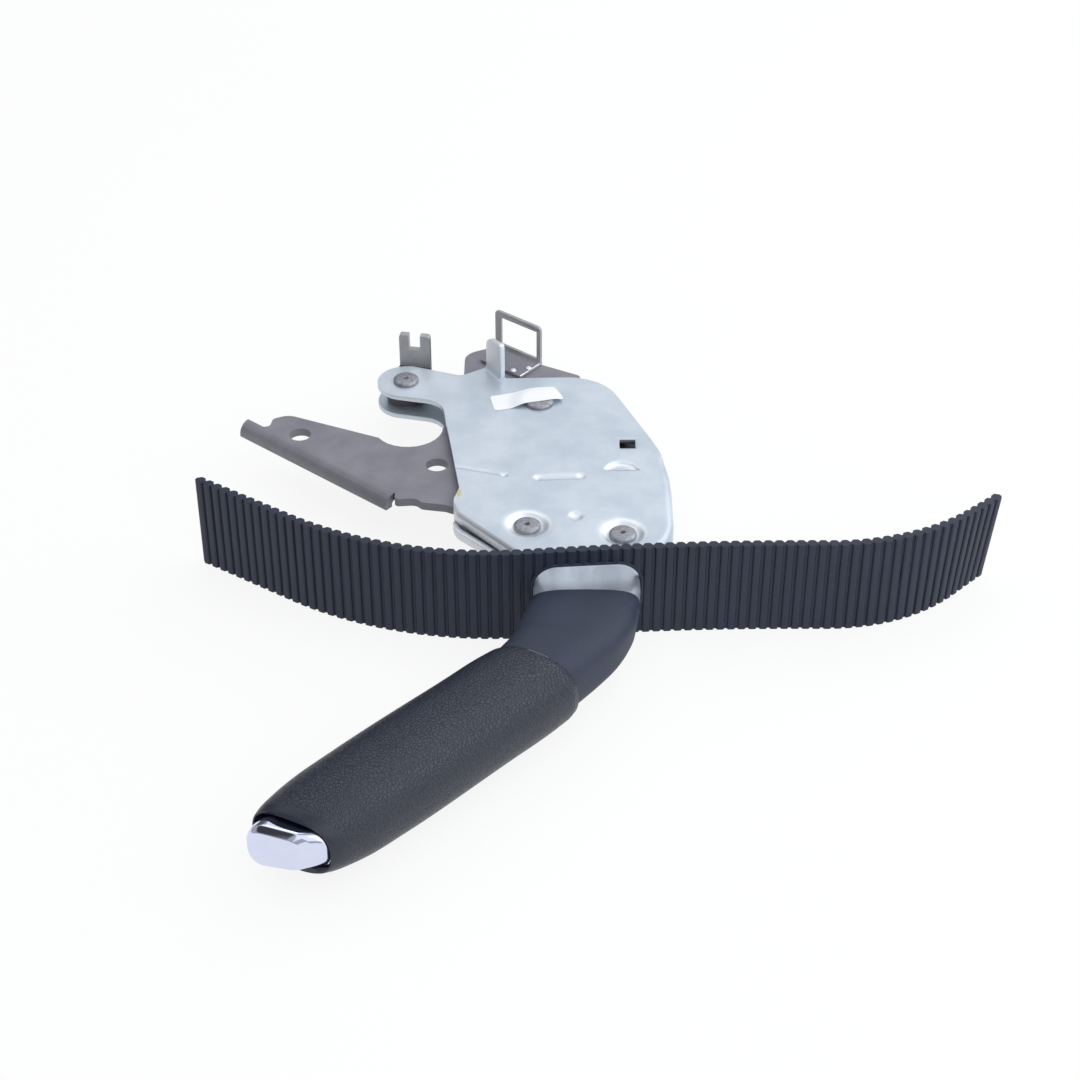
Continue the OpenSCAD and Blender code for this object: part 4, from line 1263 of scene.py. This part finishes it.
def studio_floor():
    """A white floor that keeps the object's shadow and that metal mirrors."""
    mesh = bpy.data.meshes.new("studio_floor")
    reach = 4.0
    floor_gap = 0.1
    corners = (-reach, -reach), (reach, -reach), (reach, reach), (-reach, reach)
    mesh.from_pydata([(x, y, (floor_z - floor_gap) * MM) for x, y in corners], [], [(0, 1, 2, 3)])
    floor = shown("studio_floor", mesh)
    material, tree, shader, coords = finish(
        "white_studio_floor", Base_Color=srgb("#f6f6f6"), Roughness=0.9, Specular_IOR_Level=0.0,
    )
    rays = node(tree, "ShaderNodeLightPath").outputs
    seen = node(tree, "ShaderNodeMath", {0: rays["Is Camera Ray"], 1: rays["Is Glossy Ray"]}, 0,
                operation="MAXIMUM")
    seen = node(tree, "ShaderNodeMath", {0: seen, 1: rays["Is Transmission Ray"]}, 0, operation="MAXIMUM")
    # Far from the object, the floor goes over into the white round it
    away = node(tree, "ShaderNodeVectorMath", {0: coords}, "Value", operation="LENGTH")
    white = node(tree, "ShaderNodeMapRange", {
        "Value": away, LOW: 0.45, HIGH: 1.2, TO_LOW: 0.86, TO_HIGH: 1.0,
    }, "Result")
    share = node(tree, "ShaderNodeMath", {0: seen, 1: white}, 0, operation="MULTIPLY")
    glow = node(tree, "ShaderNodeEmission", {"Color": pure_white, "Strength": 1.0}, "Emission")
    mixed = node(tree, "ShaderNodeMixShader", {0: share, 1: shader.outputs["BSDF"], 2: glow}, "Shader")
    tree.links.new(mixed, tree.nodes["Material Output"].inputs["Surface"])
    mesh.materials.append(material)


def surroundings():
    """White all round for the camera; reflections and light meet a grey with two darker cards."""
    world = bpy.data.worlds.new("white_studio")
    bpy.context.scene.world = world
    world.use_nodes = True
    tree = world.node_tree
    tree.nodes.clear()
    rays = node(tree, "ShaderNodeLightPath").outputs
    seen = node(tree, "ShaderNodeMath", {0: rays["Is Camera Ray"], 1: rays["Is Transmission Ray"]}, 0,
                operation="MAXIMUM")
    surround = 0.48
    # A dark card at the front left gives the chrome's upper bevel its dark band
    toward = node(tree, "ShaderNodeTexCoord", output="Generated")
    card = Vector((-0.70, -0.42, 0.58)).normalized()
    facing = node(tree, "ShaderNodeVectorMath", {0: toward, 1: card}, "Value", operation="DOT_PRODUCT")
    level = node(tree, "ShaderNodeMapRange", {
        "Value": facing, LOW: 0.92, HIGH: 0.96, TO_LOW: surround, TO_HIGH: 0.06,
    }, "Result")
    # A dim one low at the back left keeps the left flank of the grip dark
    card = Vector((-0.35, 0.92, 0.08)).normalized()
    facing = node(tree, "ShaderNodeVectorMath", {0: toward, 1: card}, "Value", operation="DOT_PRODUCT")
    dim = node(tree, "ShaderNodeMapRange", {
        "Value": facing, LOW: 0.84, HIGH: 0.93, TO_LOW: 1.0, TO_HIGH: 0.25,
    }, "Result")
    level = node(tree, "ShaderNodeMath", {0: level, 1: dim}, 0, operation="MULTIPLY")
    around = node(tree, "ShaderNodeBackground", {"Color": srgb("#f7f9ff"), "Strength": level}, "Background")
    white = node(tree, "ShaderNodeBackground", {"Color": pure_white, "Strength": 1.0}, "Background")
    mixed = node(tree, "ShaderNodeMixShader", {0: seen, 1: around, 2: white}, "Shader")
    node(tree, "ShaderNodeOutputWorld", {"Surface": mixed})


def softboxes():
    """Large soft lamps in daylight: name, place and aim in metres, size in metres and watts."""
    daylight = (0.93, 0.97, 1.0)
    for name, spot, aim, size, watts in (
        ("key_softbox", (-0.35, 0.25, 0.95), (0.02, 0.0, 0.0), 0.7, 1.3),
        ("rear_softbox", (0.25, 0.85, 0.85), (0.05, -0.05, 0.0), 1.1, 2.2),
        ("side_softbox", (0.85, 0.25, 0.8), (0.0, -0.15, 0.0), 1.5, 8.2),
        ("front_softbox", (0.15, -1.0, 0.85), (0.05, -0.05, 0.0), 1.5, 4.8),
        ("fill_softbox", (0.9, -0.7, 0.6), (0.05, -0.1, 0.0), 1.4, 4.8),
    ):
        lamp = bpy.data.lights.new(name, "AREA")
        lamp.shape = "SQUARE"
        lamp.size = size
        lamp.energy = watts
        lamp.color = daylight
        made = shown(name, lamp)
        made.location = spot
        made.rotation_euler = (Vector(aim) - Vector(spot)).to_track_quat("-Z", "Y").to_euler()


def photo_camera():
    """The camera at the photograph's viewing angle."""
    scene = bpy.context.scene
    lens = bpy.data.cameras.new("photo_camera")
    lens.lens = 73.33
    lens.sensor_width = 36.0
    lens.clip_start = 0.05
    camera = shown("photo_camera", lens)
    camera.location = place(0.4, -773.0, 496.3)
    camera.rotation_euler = Euler((math.radians(54), 0, 0))
    scene.camera = camera
    scene.view_settings.view_transform = "Standard"


studio_floor()
surroundings()
softboxes()
photo_camera()
